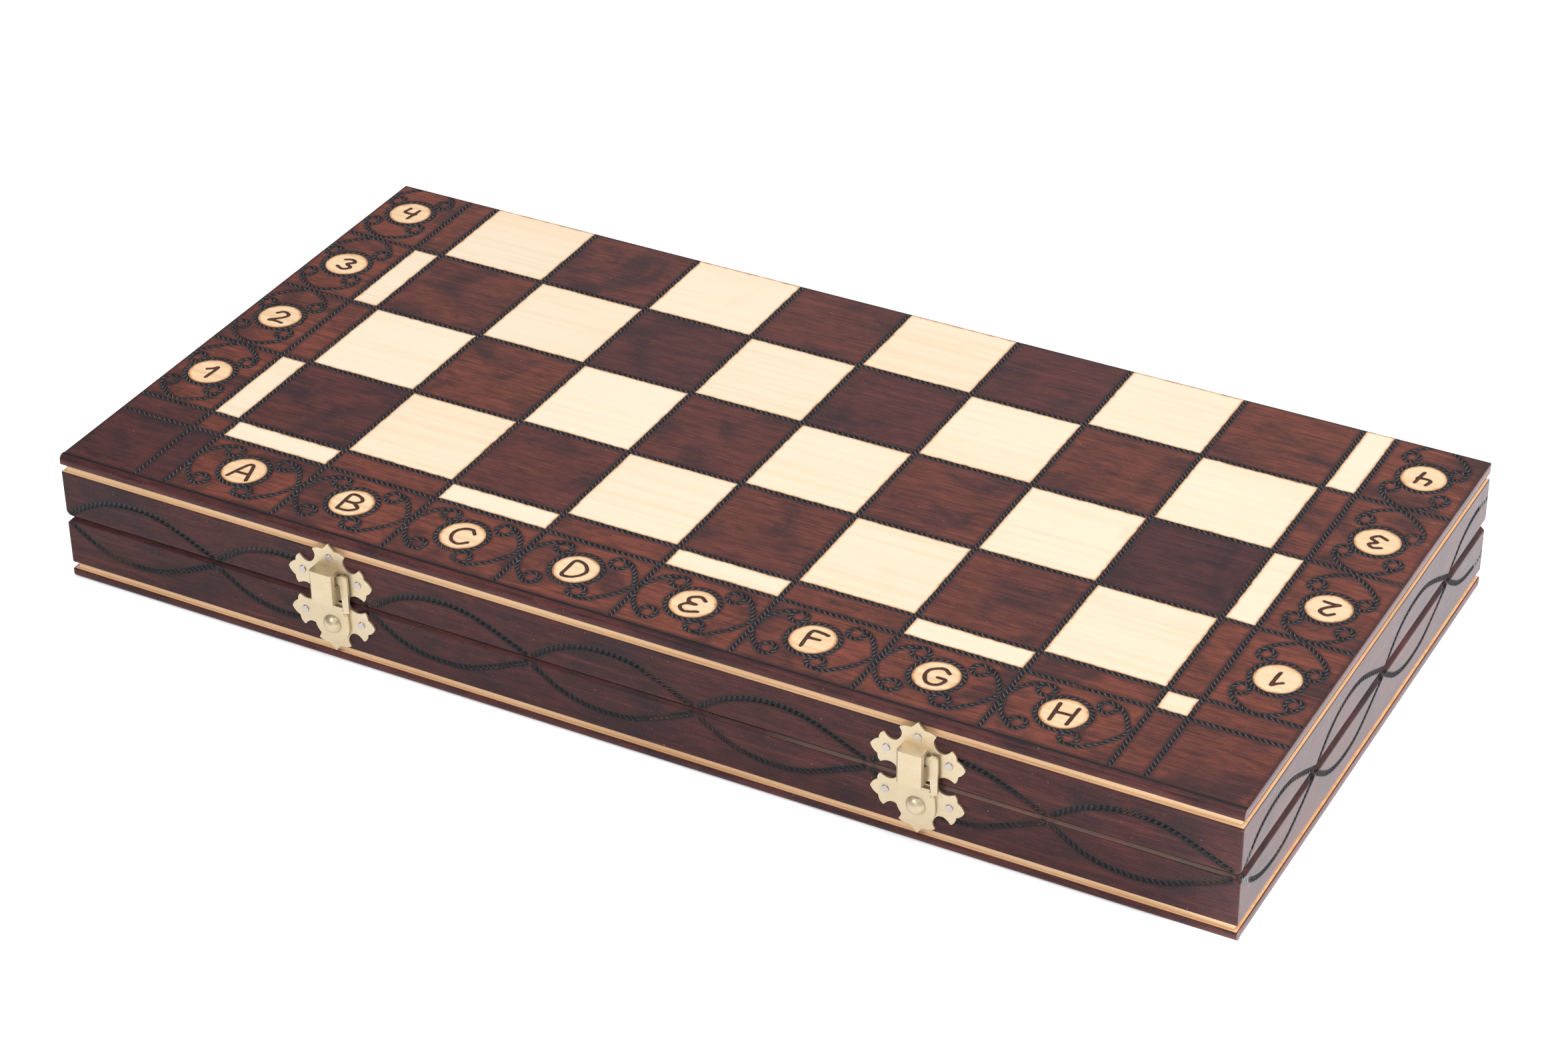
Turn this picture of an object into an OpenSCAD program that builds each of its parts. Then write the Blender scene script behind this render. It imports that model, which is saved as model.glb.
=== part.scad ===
// Folding chess box: two shallow half boxes hinged at the back, their outer faces form the
// chessboard, and the thirty-two pieces lie in notched racks inside. Units are millimetres.
// The closed box rests on z = 0 with its latches at -y and its hinges at +y.

/* [Board box] */
// Length of the closed box, along the latch side
board_l = 480; // [470:1:500]
// Width of the closed box, from latch side to hinge side
board_w = 241; // [236:1:250]
// Thickness of the closed box
board_h = 55; // [54:0.5:60]
// Thickness of the playing panels
panel_t = 4; // [3:0.5:5]
// Thickness of the rails
wall = 9; // [9:0.5:11]
// Height of the bare groove beside each panel
groove_h = 3; // [2:0.5:4]
// Depth of the bare groove
groove_d = 1.5; // [0.5:0.1:2]
// Chamfer where the halves meet, along the two short ends
end_chamfer = 2.4; // [1:0.1:3]
// Chamfer where the halves meet, along the two long sides
long_chamfer = 1.2; // [0.5:0.1:3]
// Rounding of the front edge of each panel
front_round = 2; // [0.5:0.5:3]
// Gap between the closed rims
rim_gap = 0.2; // [0.1:0.05:0.4]

/* [Lining and racks] */
// Thickness of the felt lining
felt_t = 1; // [0.5:0.5:2]
// Thickness of a rack slat
slat_t = 5; // [4:0.5:6]
// Height of a rack slat
slat_h = 12; // [10:0.5:12]
// Distance from the base of an officer to its first slat
slat_near = 19; // [17:1:21]
// Distance from the base of an officer to its second slat
slat_far = 36; // [35:1:38]
// Distance from the base of a pawn to its slat
slat_pawn = 24; // [22:1:26]

/* [Hinges] */
// Distance of each hinge from the middle of the box
hinge_x = 150; // [100:1:190]
// Length of a hinge
hinge_l = 40; // [30:1:50]
// Radius of a hinge knuckle
knuckle_r = 2.5; // [2.2:0.1:2.8]
// Radius of a hinge pin
pin_r = 1.2; // [1:0.05:1.4]
// Width of a hinge leaf, from its pin
leaf_w = 8.5; // [8:0.1:8.6]
// Thickness of a hinge leaf
leaf_t = 1; // [0.8:0.1:1.2]
// Radius of a hinge screw head
screw_head_r = 1.8; // [1.5:0.1:2]

/* [Latches] */
// Half the distance between the two latches
latch_x = 120; // [80:1:190]
// How far the pair of latches sits to the right of the middle
latch_shift = 1; // [0:0.5:3]
// Thickness of a latch plate
plate_t = 0.8; // [0.6:0.1:1]
// Thickness of the lever sheet
lever_t = 1; // [0.8:0.1:1.2]
// Height of the lever pivot above the table
pivot_z = 17.5; // [16.5:0.1:18]
// Radius of the lever round its pivot
lever_r = 7.5; // [6.5:0.1:7.6]
// Height of the hood over the upper plate
hood_d = 5.8; // [5:0.1:6.5]
// Radius of the rivet dome
rivet_r = 3.8; // [3:0.1:4.5]
// Radius of a nail head
nail_r = 1.45; // [1.2:0.05:1.5]

/* [Chess pieces] */
// Height of a king
king_h = 90; // [86:1:92]
// Base diameter of a king
king_d = 32; // [30:0.5:32]
// Base diameter of a pawn
pawn_d = 24; // [22:0.5:24]

/* [Hidden] */
$fn = 48;

lacquer = "#48302e";
bare_wood = "#f3d0aa";
felt_green = "#1f4d33";
brass_tone = "#e0c389";
steel_tone = "#c4c4cf";
white_wood = "#e6c48f";
black_wood = "#4a2a22";

front_y = -board_w / 2;
back_y = board_w / 2;
end_x = board_l / 2;
mid_z = board_h / 2;
// Height of one half box, up to its rim
half_h = mid_z - rim_gap / 2;
// Cuts run past the surface that they open by this much
over = 1;

// The hinge axis lies just behind the back face, so the opened halves stop a hair apart
hinge_stand = 0.15;
hinge_y = back_y + hinge_stand;
knuckles = 5;
knuckle_gap = 0.2;
pin_clearance = 0.05;
knuckle_clearance = 0.4;
screw_shank_r = 0.9;
screw_len = 8;
screw_back = 5.7;

// Latch measures, all from the pivot of the lever across and from the table up
catch_edge_z = 28.6;
lever_plate_edge_z = 28.4;
lever_plate_top_z = 27.2;
plate_face_y = front_y - plate_t;
lever_gap = 0.1;
lever_face_y = plate_face_y - lever_gap;
pivot_shaft_r = 1.5;
running_gap = 0.05;
rivet_len = 6;
rivet_dome = 2.6;
hood_t = 0.8;
hood_z0 = 28.8;
hood_z1 = 42.2;
hood_left_foot = -5.4;
hood_left = -5;
hood_right = 4;
slot_z0 = 35.9;
slot_z1 = 40.3;
slot_d = 3;
arm_x0 = 5.4;
arm_x1 = 8.6;
arm_top_z = 40.8;
// The arm's inner edge starts this much further out at its foot
arm_lean = 0.7;
hook_x = 1.6;
hook_z0 = 36.8;
hook_z1 = 39.9;
shoulder_z = 26;
arm_gap = 0.9;
joggle_x = 7.2;
joggle_z0 = 23.2;
joggle_z1 = 25.2;
nail_shank_r = 0.6;
nail_head = 0.5;
nail_round = 0.2;
nail_len = 7;
// Rounding of the leaf tips
leaf_tip_r = 0.45;
catch_nails = [[0, 46], [-12, 37.6], [12, 37.6]];
lever_nails = [[-12.3, 19.8], [12.3, 19.8]];

// Chess pieces lie in eight columns a side, and the columns of the two sides alternate
columns = 8;
inner_l = board_l - 2 * wall;
inner_w = board_w - 2 * wall;
column_pitch = inner_l / columns;
floor_z = panel_t + felt_t;
pad_t = 0.5;
end_room = 3;
// Distance from the middle of the box to the base of a piece
base_y = inner_w / 2 - end_room - pad_t;
queen_h = king_h * 0.9;
bishop_h = king_h * 0.78;
knight_h = king_h * 0.7;
rook_h = king_h * 0.6;
pawn_h = king_h * 0.53;
queen_d = king_d * 0.94;
minor_d = king_d * 0.875;
// Officers from the first column on: diameters of their bases
officer_d = [minor_d, minor_d, minor_d, queen_d, king_d, minor_d, minor_d, minor_d];
notch_gap = 0.3;
// The knight's head is a flat-sided carving over its collar
neck_z = knight_h * 0.42;
horse_scale = (knight_h - neck_z) / 33.5;
horse_half_t = 5.5 * horse_scale;

// Points of an arc from angle a0 to a1
function arc(x, y, r, a0, a1, n = 8) =
    [for (i = [0:n]) [x + r * cos(a0 + (a1 - a0) * i / n), y + r * sin(a0 + (a1 - a0) * i / n)]];

// Points of a curve that leaves a towards b and reaches c, without its first point
function bend(a, b, c, n = 6) =
    [for (i = [1:n]) let (t = i / n) (1 - t) * (1 - t) * a + 2 * t * (1 - t) * b + t * t * c];

function latch_at(side) = side * latch_x + latch_shift;

function column_x(i) = (i - (columns - 1) / 2) * column_pitch - column_pitch / 4;

// The upper half is the lower half's frame turned upside down
module upper_half() {
    translate([0, 0, board_h]) mirror([0, 0, 1]) children();
}

// The contents of the upper half are those of the lower half rolled over
module rolled_over() {
    translate([0, 0, board_h]) rotate([180, 0, 0]) children();
}

// ---- Half boxes ----

module panel() {
    rotate([90, 0, 90]) translate([0, 0, -end_x]) linear_extrude(board_l)
        polygon(concat(
            [[back_y, 0], [back_y, panel_t], [front_y, panel_t]],
            arc(front_y + front_round, front_round, front_round, 180, 270)
        ));
}

// A rail along x with its outer face at y = 0 and its wood towards +y
module rail_bar(length, chamfer) {
    translate([-length / 2, 0, 0]) rotate([90, 0, 90]) linear_extrude(length)
        polygon([
            [groove_d, panel_t], [wall, panel_t], [wall, half_h], [chamfer, half_h],
            [0, half_h - chamfer], [0, panel_t + groove_h], [groove_d, panel_t + groove_h]
        ]);
}

// The groove and the chamfer of the short ends, cut into the two ends of a long rail
module end_cuts() {
    for (side = [0, 1]) mirror([side, 0, 0]) {
        translate([end_x - groove_d, -over, panel_t - over])
            cube([groove_d + over, wall + 2 * over, groove_h + over]);
        translate([end_x, wall + over, half_h]) rotate([90, 0, 0])
            linear_extrude(wall + 2 * over)
                polygon([[-end_chamfer, over], [-end_chamfer, 0], [0, -end_chamfer],
                         [over, -end_chamfer], [over, over]]);
    }
}

// A pilot hole drilled into the latch side
module pilot(x, z, r, depth) {
    translate([x, front_y - over, z]) rotate([-90, 0, 0]) cylinder(r = r, h = depth + over);
}

module long_rail() {
    translate([0, front_y, 0]) difference() {
        rail_bar(board_l, long_chamfer);
        end_cuts();
    }
}

module lower_front_rail() {
    difference() {
        long_rail();
        for (side = [-1, 1]) {
            pilot(latch_at(side), pivot_z, pivot_shaft_r, rivet_len);
            for (p = lever_nails) pilot(latch_at(side) + p[0], p[1], nail_shank_r, nail_len);
        }
    }
}

module upper_front_rail() {
    difference() {
        upper_half() long_rail();
        for (side = [-1, 1])
            for (p = catch_nails) pilot(latch_at(side) + p[0], p[1], nail_shank_r, nail_len);
    }
}

module back_rail() {
    difference() {
        mirror([0, 1, 0]) long_rail();
        for (side = [-1, 1]) at_hinge(side) {
            rotate([0, 90, 0])
                cylinder(r = knuckle_r + knuckle_clearance, h = hinge_l + 2 * knuckle_clearance,
                         center = true);
            translate([-hinge_l / 2, -leaf_w, -rim_gap / 2 - leaf_t])
                cube([hinge_l, leaf_w, leaf_t + over]);
            for (x = screw_places) translate([x, -screw_back, -screw_len])
                cylinder(r = screw_shank_r, h = screw_len);
        }
    }
}

module side_rail(side) {
    translate([side * end_x, 0, 0]) rotate([0, 0, side * 90])
        rail_bar(board_w - 2 * wall, end_chamfer);
}

module lining() {
    translate([-inner_l / 2, -inner_w / 2, panel_t]) cube([inner_l, inner_w, felt_t]);
}

// A slat at a distance from the bases of its row, notched for the stems that lie in it.
// A notch that is less deep than wide is for a flat-sided piece, and has a flat bottom.
module slat(y, radii, depths, diameters) {
    difference() {
        translate([-inner_l / 2, y - slat_t / 2, floor_z]) cube([inner_l, slat_t, slat_h]);
        for (i = [0:columns - 1]) translate([column_x(i), y, floor_z + diameters[i] / 2]) {
            flat = depths[i] < radii[i];
            sink = flat ? depths[i] + notch_gap : 0;
            if (!flat) rotate([90, 0, 0])
                cylinder(r = radii[i] + notch_gap, h = slat_t + 2, center = true);
            translate([-radii[i] - notch_gap, -slat_t, -sink])
                cube([2 * (radii[i] + notch_gap), 2 * slat_t, slat_h + sink]);
        }
    }
}

// ---- Hinges ----

screw_places = [-hinge_l * 0.3, hinge_l * 0.3];

module at_hinge(side) {
    translate([side * hinge_x, hinge_y, mid_z]) children();
}

// One leaf; the even knuckles are the lower leaf's and the odd ones the upper leaf's
module hinge_leaf(odd) {
    pitch = hinge_l / knuckles;
    difference() {
        union() {
            difference() {
                translate([-hinge_l / 2, -leaf_w, -rim_gap / 2 - leaf_t])
                    cube([hinge_l, leaf_w, leaf_t]);
                for (k = [0:knuckles - 1]) if (k % 2 != odd)
                    translate([-hinge_l / 2 + k * pitch - (k == 0 ? over : 0) - knuckle_gap / 2,
                               -knuckle_r - knuckle_clearance, -knuckle_r])
                        cube([pitch + knuckle_gap + over, 2 * knuckle_r, 2 * knuckle_r]);
            }
            for (k = [0:knuckles - 1]) if (k % 2 == odd)
                translate([-hinge_l / 2 + k * pitch + knuckle_gap / 2, 0, 0]) rotate([0, 90, 0])
                    cylinder(r = knuckle_r, h = pitch - knuckle_gap);
        }
        rotate([0, 90, 0]) cylinder(r = pin_r + pin_clearance, h = hinge_l + 2, center = true);
        for (x = screw_places) translate([x, -screw_back, 0]) screw_hole();
    }
}

module screw_hole() {
    translate([0, 0, -rim_gap / 2 - leaf_t - over])
        cylinder(r = screw_shank_r + running_gap, h = leaf_t + 2 * over);
    translate([0, 0, -rim_gap / 2 - leaf_t * 0.8])
        cylinder(r1 = screw_shank_r, r2 = screw_head_r + running_gap, h = leaf_t * 0.8);
    translate([0, 0, -rim_gap / 2 - running_gap]) cylinder(r = screw_head_r + running_gap, h = over);
}

// A countersunk screw, its head just below the face of the leaf and a slot across it
module hinge_screw() {
    head_top = -rim_gap / 2 - running_gap;
    head_h = leaf_t * 0.7;
    difference() {
        union() {
            translate([0, 0, head_top - head_h])
                cylinder(r1 = screw_shank_r, r2 = screw_head_r, h = head_h);
            translate([0, 0, -screw_len]) cylinder(r = screw_shank_r, h = screw_len + head_top - head_h);
        }
        translate([-screw_head_r, -0.2, head_top - 0.3]) cube([2 * screw_head_r, 0.4, over]);
    }
}

module lower_leaf_at(side) {
    at_hinge(side) hinge_leaf(0);
}

module upper_leaf_at(side) {
    upper_half() at_hinge(side) hinge_leaf(1);
}

module hinge_pin(side) {
    at_hinge(side) rotate([0, 90, 0]) cylinder(r = pin_r, h = hinge_l, center = true);
}

module hinge_screws() {
    for (side = [-1, 1]) at_hinge(side)
        for (x = screw_places) translate([x, -screw_back, 0]) hinge_screw();
}

// ---- Latches ----

// Half of a latch plate's outline: three pointed leaves on a strap, from the tip down.
// The first number is the distance from the middle and the second the height over its edge.
leaf_points = [
    [[0, 23.7], [1.4, 21.5], [2.6, 20.7]],
    [[2.6, 20.7], [5.6, 20.9], [7.1, 19.4]],
    [[7.1, 19.4], [5.5, 17.6], [6.4, 15.6]],
    [[6.4, 15.6], [7.6, 12.9], [9.8, 13.2]],
    [[9.8, 13.2], [11.4, 13.4], [12.9, 15.6]],
    [[12.9, 15.6], [14.9, 14.4], [14.9, 12.0]],
    [[14.9, 12.0], [17.0, 11.2], [18.1, 8.9]],
    [[18.1, 8.9], [17.4, 6.6], [15.4, 5.5]],
    [[15.4, 5.5], [15.3, 3.2], [14.2, 2.4]],
    [[14.2, 2.4], [11.0, 4.6], [8.6, 2.8]],
    [[8.6, 2.8], [7.4, 1.6], [7.2, 0]]
];

// Its tips are rounded a little, as stamped sheet is.
module plate_outline() {
    half = [for (s = leaf_points) each bend(s[0], s[1], s[2], 8)];
    mirrored = [for (i = [len(half) - 1:-1:0]) [-half[i][0], half[i][1]]];
    offset(r = leaf_tip_r, $fn = 24) offset(delta = -leaf_tip_r)
        polygon(concat([[0, 23.7 + leaf_tip_r]], half, mirrored));
}

// A sheet outline in x and z, made thick from a face at y towards the wood
module upright(y, thick) {
    translate([0, y + thick, 0]) rotate([90, 0, 0]) linear_extrude(thick) children();
}

module nail_holes(places) {
    for (p = places) translate([p[0], front_y + over, p[1]]) rotate([90, 0, 0])
        cylinder(r = nail_shank_r + running_gap, h = plate_t + 2 * over);
}

// The bent hood that the lever's hook enters through a slot in its right wall
module hood() {
    depth = front_y - plate_t;
    difference() {
        translate([0, depth, hood_z0]) mirror([0, 1, 0]) linear_extrude(hood_z1 - hood_z0)
            polygon([[hood_left_foot, -0.3], [hood_left_foot, 0], [hood_left - 0.6, hood_d - 0.9],
                     [hood_left + 0.3, hood_d], [hood_right - 0.5, hood_d],
                     [hood_right, hood_d - 0.5], [hood_right, -0.3]]);
        translate([0, depth, hood_z0 - over]) mirror([0, 1, 0])
            linear_extrude(hood_z1 - hood_z0 - hood_t + over)
                polygon([[hood_left_foot + 1, 0], [hood_left + 0.5, hood_d - hood_t],
                         [hood_right - hood_t, hood_d - hood_t], [hood_right - hood_t, 0]]);
        translate([hood_right - hood_t - over / 2, depth - slot_d, slot_z0])
            cube([hood_t + over, slot_d, slot_z1 - slot_z0]);
    }
}

module catch_plate() {
    difference() {
        union() {
            upright(plate_face_y, plate_t) translate([0, catch_edge_z]) plate_outline();
            hood();
        }
        nail_holes(catch_nails);
    }
}

module lever_plate() {
    difference() {
        upright(plate_face_y, plate_t) intersection() {
            translate([0, lever_plate_edge_z]) mirror([0, 1]) plate_outline();
            translate([-4 * lever_r, 0]) square([8 * lever_r, lever_plate_top_z]);
        }
        nail_holes(lever_nails);
        translate([0, front_y + over, pivot_z]) rotate([90, 0, 0])
            cylinder(r = pivot_shaft_r + running_gap, h = plate_t + 2 * over);
    }
}

// The swinging lever: a disc round the rivet with a shoulder, and an arm set off outwards by
// a joggle so that it passes over the nail heads. The hook on its top points left.
module latch_lever() {
    arm_y = plate_face_y - arm_gap;
    difference() {
        upright(lever_face_y - lever_t, lever_t) union() {
            translate([0, pivot_z]) circle(r = lever_r, $fn = 64);
            polygon(concat(
                [[-lever_r, pivot_z], [-lever_r, shoulder_z - 1.5]],
                bend([-lever_r, shoulder_z - 1.5], [-lever_r, shoulder_z], [-lever_r + 1.5, shoulder_z]),
                [[arm_x0, shoulder_z], [arm_x0, joggle_z0 + 0.3], [joggle_x, joggle_z0 + 0.3],
                 [joggle_x, joggle_z0], [lever_r, pivot_z]]
            ));
        }
        translate([0, front_y, pivot_z]) rotate([90, 0, 0])
            cylinder(r = pivot_shaft_r + running_gap, h = 3 * lever_t + plate_t);
    }
    translate([arm_x0, 0, 0]) rotate([90, 0, 90]) linear_extrude(joggle_x - arm_x0)
        polygon([[lever_face_y, joggle_z0], [lever_face_y - lever_t, joggle_z0 - 0.6],
                 [arm_y - lever_t, joggle_z1 - 0.6], [arm_y - lever_t, joggle_z1 + 0.3],
                 [arm_y, joggle_z1 + 0.3], [lever_face_y, joggle_z0 + 0.6]]);
    upright(arm_y - lever_t, lever_t) polygon(concat(
        [[arm_x0 + arm_lean, joggle_z1 - 0.6], [arm_x0, hook_z0 - 2], [arm_x0, hook_z0],
         [hook_x + 0.8, hook_z0]],
        bend([hook_x + 0.8, hook_z0], [hook_x, hook_z0], [hook_x, hook_z0 + 0.9]),
        [[hook_x, hook_z1 - 1.2]],
        bend([hook_x, hook_z1 - 1.2], [hook_x, hook_z1], [hook_x + 1.2, hook_z1]),
        [[arm_x0, hook_z1], [arm_x0, arm_top_z - 0.6]],
        bend([arm_x0, arm_top_z - 0.6], [arm_x0, arm_top_z], [arm_x0 + 0.7, arm_top_z]),
        bend([arm_x1 - 1.2, arm_top_z], [arm_x1, arm_top_z], [arm_x1, arm_top_z - 1.4]),
        [[arm_x1, joggle_z1], [joggle_x, joggle_z1 - 0.6]]
    ));
}

// A domed rivet through the lever and its plate into the rail
module latch_rivet() {
    seat_y = lever_face_y - lever_t - lever_gap;
    sphere_r = (rivet_r * rivet_r + rivet_dome * rivet_dome) / (2 * rivet_dome);
    translate([0, 0, pivot_z]) rotate([90, 0, 0]) {
        intersection() {
            translate([0, 0, -seat_y + rivet_dome - sphere_r]) sphere(r = sphere_r, $fn = 64);
            translate([0, 0, -seat_y]) cylinder(r = rivet_r, h = rivet_dome + over, $fn = 64);
        }
        translate([0, 0, -front_y - rivet_len])
            cylinder(r = pivot_shaft_r, h = front_y - seat_y + rivet_len);
    }
}

// A nail driven through a plate, its head standing a little proud
module nail() {
    rotate_extrude() polygon(concat(
        [[0, plate_t], [nail_r, plate_t]],
        arc(nail_r - nail_round, plate_t + nail_head - nail_round, nail_round, 0, 90, 5),
        [[0, plate_t + nail_head]]
    ));
    translate([0, 0, -nail_len]) cylinder(r = nail_shank_r, h = nail_len + plate_t + 0.2);
}

module nails(places) {
    for (side = [-1, 1]) translate([latch_at(side), front_y, 0])
        for (p = places) translate([p[0], 0, p[1]]) rotate([90, 0, 0]) nail();
}

// ---- Chess pieces, standing on z = 0 ----

// Turned foot shared by all pieces: a plinth, a rounded step and a hollow curve up to the stem
module foot(d, stem_r, stem_z) {
    r = d / 2;
    step_z = d * 0.13;
    curve_z = d * 0.26;
    rotate_extrude($fn = 64) polygon(concat(
        [[0, 0], [r - 0.6, 0], [r, 0.6], [r, step_z - 0.8], [r - 0.8, step_z]],
        arc(r * 0.78, step_z + (curve_z - step_z) / 2, (curve_z - step_z) / 2, -90, 90, 6),
        bend([r * 0.7, curve_z], [stem_r, curve_z + d * 0.12], [stem_r, stem_z], 6),
        [[0, stem_z]]
    ));
}

// A disc with a rounded rim
module collar(z, r, h) {
    rotate_extrude($fn = 64) polygon(concat(
        [[0, z]], arc(r - h / 2, z + h / 2, h / 2, -90, 90, 6), [[0, z + h]]
    ));
}

module pawn() {
    stem_r = pawn_d * 0.19;
    head_z = pawn_h - pawn_d * 0.5;
    foot(pawn_d, stem_r, head_z);
    collar(head_z - 3, pawn_d * 0.3, 2.6);
    translate([0, 0, pawn_h - pawn_d * 0.27]) sphere(r = pawn_d * 0.27, $fn = 64);
}

module rook() {
    stem_r = minor_d * 0.25;
    head_z = rook_h * 0.68;
    foot(minor_d, stem_r, head_z);
    collar(head_z - 1, minor_d * 0.34, 2.6);
    difference() {
        translate([0, 0, head_z]) cylinder(r1 = minor_d * 0.27, r2 = minor_d * 0.33, h = rook_h - head_z);
        translate([0, 0, rook_h - 4]) cylinder(r = minor_d * 0.21, h = 5);
        for (a = [0:60:120]) rotate([0, 0, a]) translate([-minor_d, -1.2, rook_h - 3.2])
            cube([2 * minor_d, 2.4, 4]);
    }
}

module bishop() {
    stem_r = minor_d * 0.2;
    head_z = bishop_h * 0.62;
    head_h = bishop_h - head_z - 4;
    foot(minor_d, stem_r, head_z);
    collar(head_z - 2.5, minor_d * 0.33, 2.6);
    collar(head_z, minor_d * 0.25, 1.8);
    difference() {
        rotate_extrude($fn = 64) polygon(concat(
            [[0, head_z]],
            bend([minor_d * 0.16, head_z], [minor_d * 0.36, head_z + head_h * 0.4],
                 [minor_d * 0.16, head_z + head_h * 0.8]),
            bend([minor_d * 0.16, head_z + head_h * 0.8], [minor_d * 0.1, head_z + head_h],
                 [0, head_z + head_h])
        ));
        translate([2, -minor_d / 2, head_z + head_h * 0.5]) rotate([0, 30, 0])
            cube([1.2, minor_d, head_h]);
    }
    translate([0, 0, bishop_h - 2.6]) sphere(r = 2.6);
}

module queen() {
    stem_r = queen_d * 0.19;
    head_z = queen_h * 0.72;
    rim_z = queen_h - 6;
    foot(queen_d, stem_r, head_z);
    collar(head_z - 7, queen_d * 0.32, 2.8);
    collar(head_z - 3.2, queen_d * 0.25, 1.8);
    difference() {
        rotate_extrude($fn = 64) polygon(concat(
            [[0, head_z - 2]],
            bend([queen_d * 0.17, head_z - 2], [queen_d * 0.18, rim_z - 8], [queen_d * 0.33, rim_z]),
            [[queen_d * 0.24, rim_z], [queen_d * 0.2, rim_z - 1.5], [0, rim_z - 1.5]]
        ));
        for (i = [0:7]) rotate([0, 0, i * 45]) translate([queen_d * 0.33, 0, rim_z + 1])
            rotate([0, -90, 0]) cylinder(r = 2, h = queen_d * 0.14);
    }
    translate([0, 0, rim_z - 2]) cylinder(r1 = queen_d * 0.2, r2 = 1.6, h = 4);
    translate([0, 0, queen_h - 3]) sphere(r = 3);
}

module king() {
    stem_r = king_d * 0.19;
    head_z = king_h * 0.68;
    rim_z = king_h - 14;
    foot(king_d, stem_r, head_z);
    collar(head_z - 7, king_d * 0.33, 2.8);
    collar(head_z - 3.2, king_d * 0.26, 1.8);
    rotate_extrude($fn = 64) polygon(concat(
        [[0, head_z - 2]],
        bend([king_d * 0.17, head_z - 2], [king_d * 0.19, rim_z - 6], [king_d * 0.3, rim_z - 1]),
        bend([king_d * 0.3, rim_z - 1], [king_d * 0.2, rim_z + 3.5], [0, rim_z + 4])
    ));
    translate([-1.5, -1.3, rim_z + 2]) cube([3, 2.6, king_h - rim_z - 2]);
    translate([-4.5, -1.3, king_h - 7]) cube([9, 2.6, 3]);
}

// Side view of the horse's head and neck over its collar, nose towards +x
function horse_outline() = concat(
    [[-8.5, 0], [8, 0]],
    bend([8, 0], [8.5, 6], [4.5, 11]),
    bend([4.5, 11], [2.5, 14], [4.5, 15]),
    bend([4.5, 15], [9, 12.5], [11, 13.5]),
    bend([11, 13.5], [13.2, 15.5], [12, 18.5]),
    bend([12, 18.5], [7.5, 24.5], [3.5, 29]),
    [[1.5, 33.5], [-0.8, 30]],
    bend([-0.8, 30], [-9.5, 27], [-10.5, 14]),
    bend([-10.5, 14], [-10.5, 5], [-8.5, 0])
);

module knight() {
    foot(minor_d, minor_d * 0.3, neck_z);
    collar(neck_z - 2, minor_d * 0.38, 2.8);
    translate([0, horse_half_t, neck_z]) rotate([90, 0, 0]) linear_extrude(2 * horse_half_t)
        scale(horse_scale) polygon(horse_outline());
}

module base_pad(d) {
    translate([0, 0, -pad_t]) cylinder(r = d / 2 - 1.2, h = pad_t);
}

// A piece laid in a column: officers with their bases at the front, pawns at the back
module lay_officer(i) {
    translate([column_x(i), -base_y, floor_z + officer_d[i] / 2]) rotate([-90, 0, 0]) children();
}

module lay_pawn(i) {
    translate([column_x(i), base_y, floor_z + pawn_d / 2]) rotate([90, 0, 0]) children();
}

module pawn_row() {
    for (i = [0:columns - 1]) lay_pawn(i) pawn();
}

module pad_rows() {
    for (i = [0:columns - 1]) {
        lay_officer(i) base_pad(officer_d[i]);
        lay_pawn(i) base_pad(pawn_d);
    }
}

// Radius of each piece where it crosses a slat, column by column
far_share = [0.36, 0.41, 0.24, 0.23, 0.23, 0.24, 0.41, 0.36];
near_radii = [for (d = officer_d) d * 0.31];
far_radii = [for (i = [0:columns - 1]) officer_d[i] * far_share[i]];
far_depths = [for (i = [0:columns - 1]) i == 1 || i == 6 ? horse_half_t : far_radii[i]];
pawn_radii = [for (d = officer_d) pawn_d * 0.22];
pawn_diameters = [for (d = officer_d) pawn_d];

module rack_near() {
    slat(-base_y + slat_near, near_radii, near_radii, officer_d);
}

module rack_far() {
    slat(-base_y + slat_far, far_radii, far_depths, officer_d);
}

module rack_pawns() {
    slat(base_y - slat_pawn, pawn_radii, pawn_radii, pawn_diameters);
}

// ---- Sub-parts ----

module base_panel() {
    color(lacquer) panel();
}

module base_front_rail() {
    color(lacquer) lower_front_rail();
}

module base_back_rail() {
    color(lacquer) back_rail();
}

module base_left_rail() {
    color(lacquer) side_rail(-1);
}

module base_right_rail() {
    color(lacquer) side_rail(1);
}

module base_felt() {
    color(felt_green) lining();
}

module base_rack_near() {
    color(bare_wood) rack_near();
}

module base_rack_far() {
    color(bare_wood) rack_far();
}

module base_rack_pawns() {
    color(bare_wood) rack_pawns();
}

module lid_panel() {
    color(lacquer) upper_half() panel();
}

module lid_front_rail() {
    color(lacquer) upper_front_rail();
}

module lid_back_rail() {
    color(lacquer) upper_half() back_rail();
}

module lid_left_rail() {
    color(lacquer) upper_half() side_rail(-1);
}

module lid_right_rail() {
    color(lacquer) upper_half() side_rail(1);
}

module lid_felt() {
    color(felt_green) upper_half() lining();
}

module lid_rack_near() {
    color(bare_wood) rolled_over() mirror([1, 0, 0]) rack_near();
}

module lid_rack_far() {
    color(bare_wood) rolled_over() mirror([1, 0, 0]) rack_far();
}

module lid_rack_pawns() {
    color(bare_wood) rolled_over() mirror([1, 0, 0]) rack_pawns();
}

module left_hinge_lower_leaf() {
    color(brass_tone) lower_leaf_at(-1);
}

module left_hinge_upper_leaf() {
    color(brass_tone) upper_leaf_at(-1);
}

module left_hinge_pin() {
    color(steel_tone) hinge_pin(-1);
}

module right_hinge_lower_leaf() {
    color(brass_tone) lower_leaf_at(1);
}

module right_hinge_upper_leaf() {
    color(brass_tone) upper_leaf_at(1);
}

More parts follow.
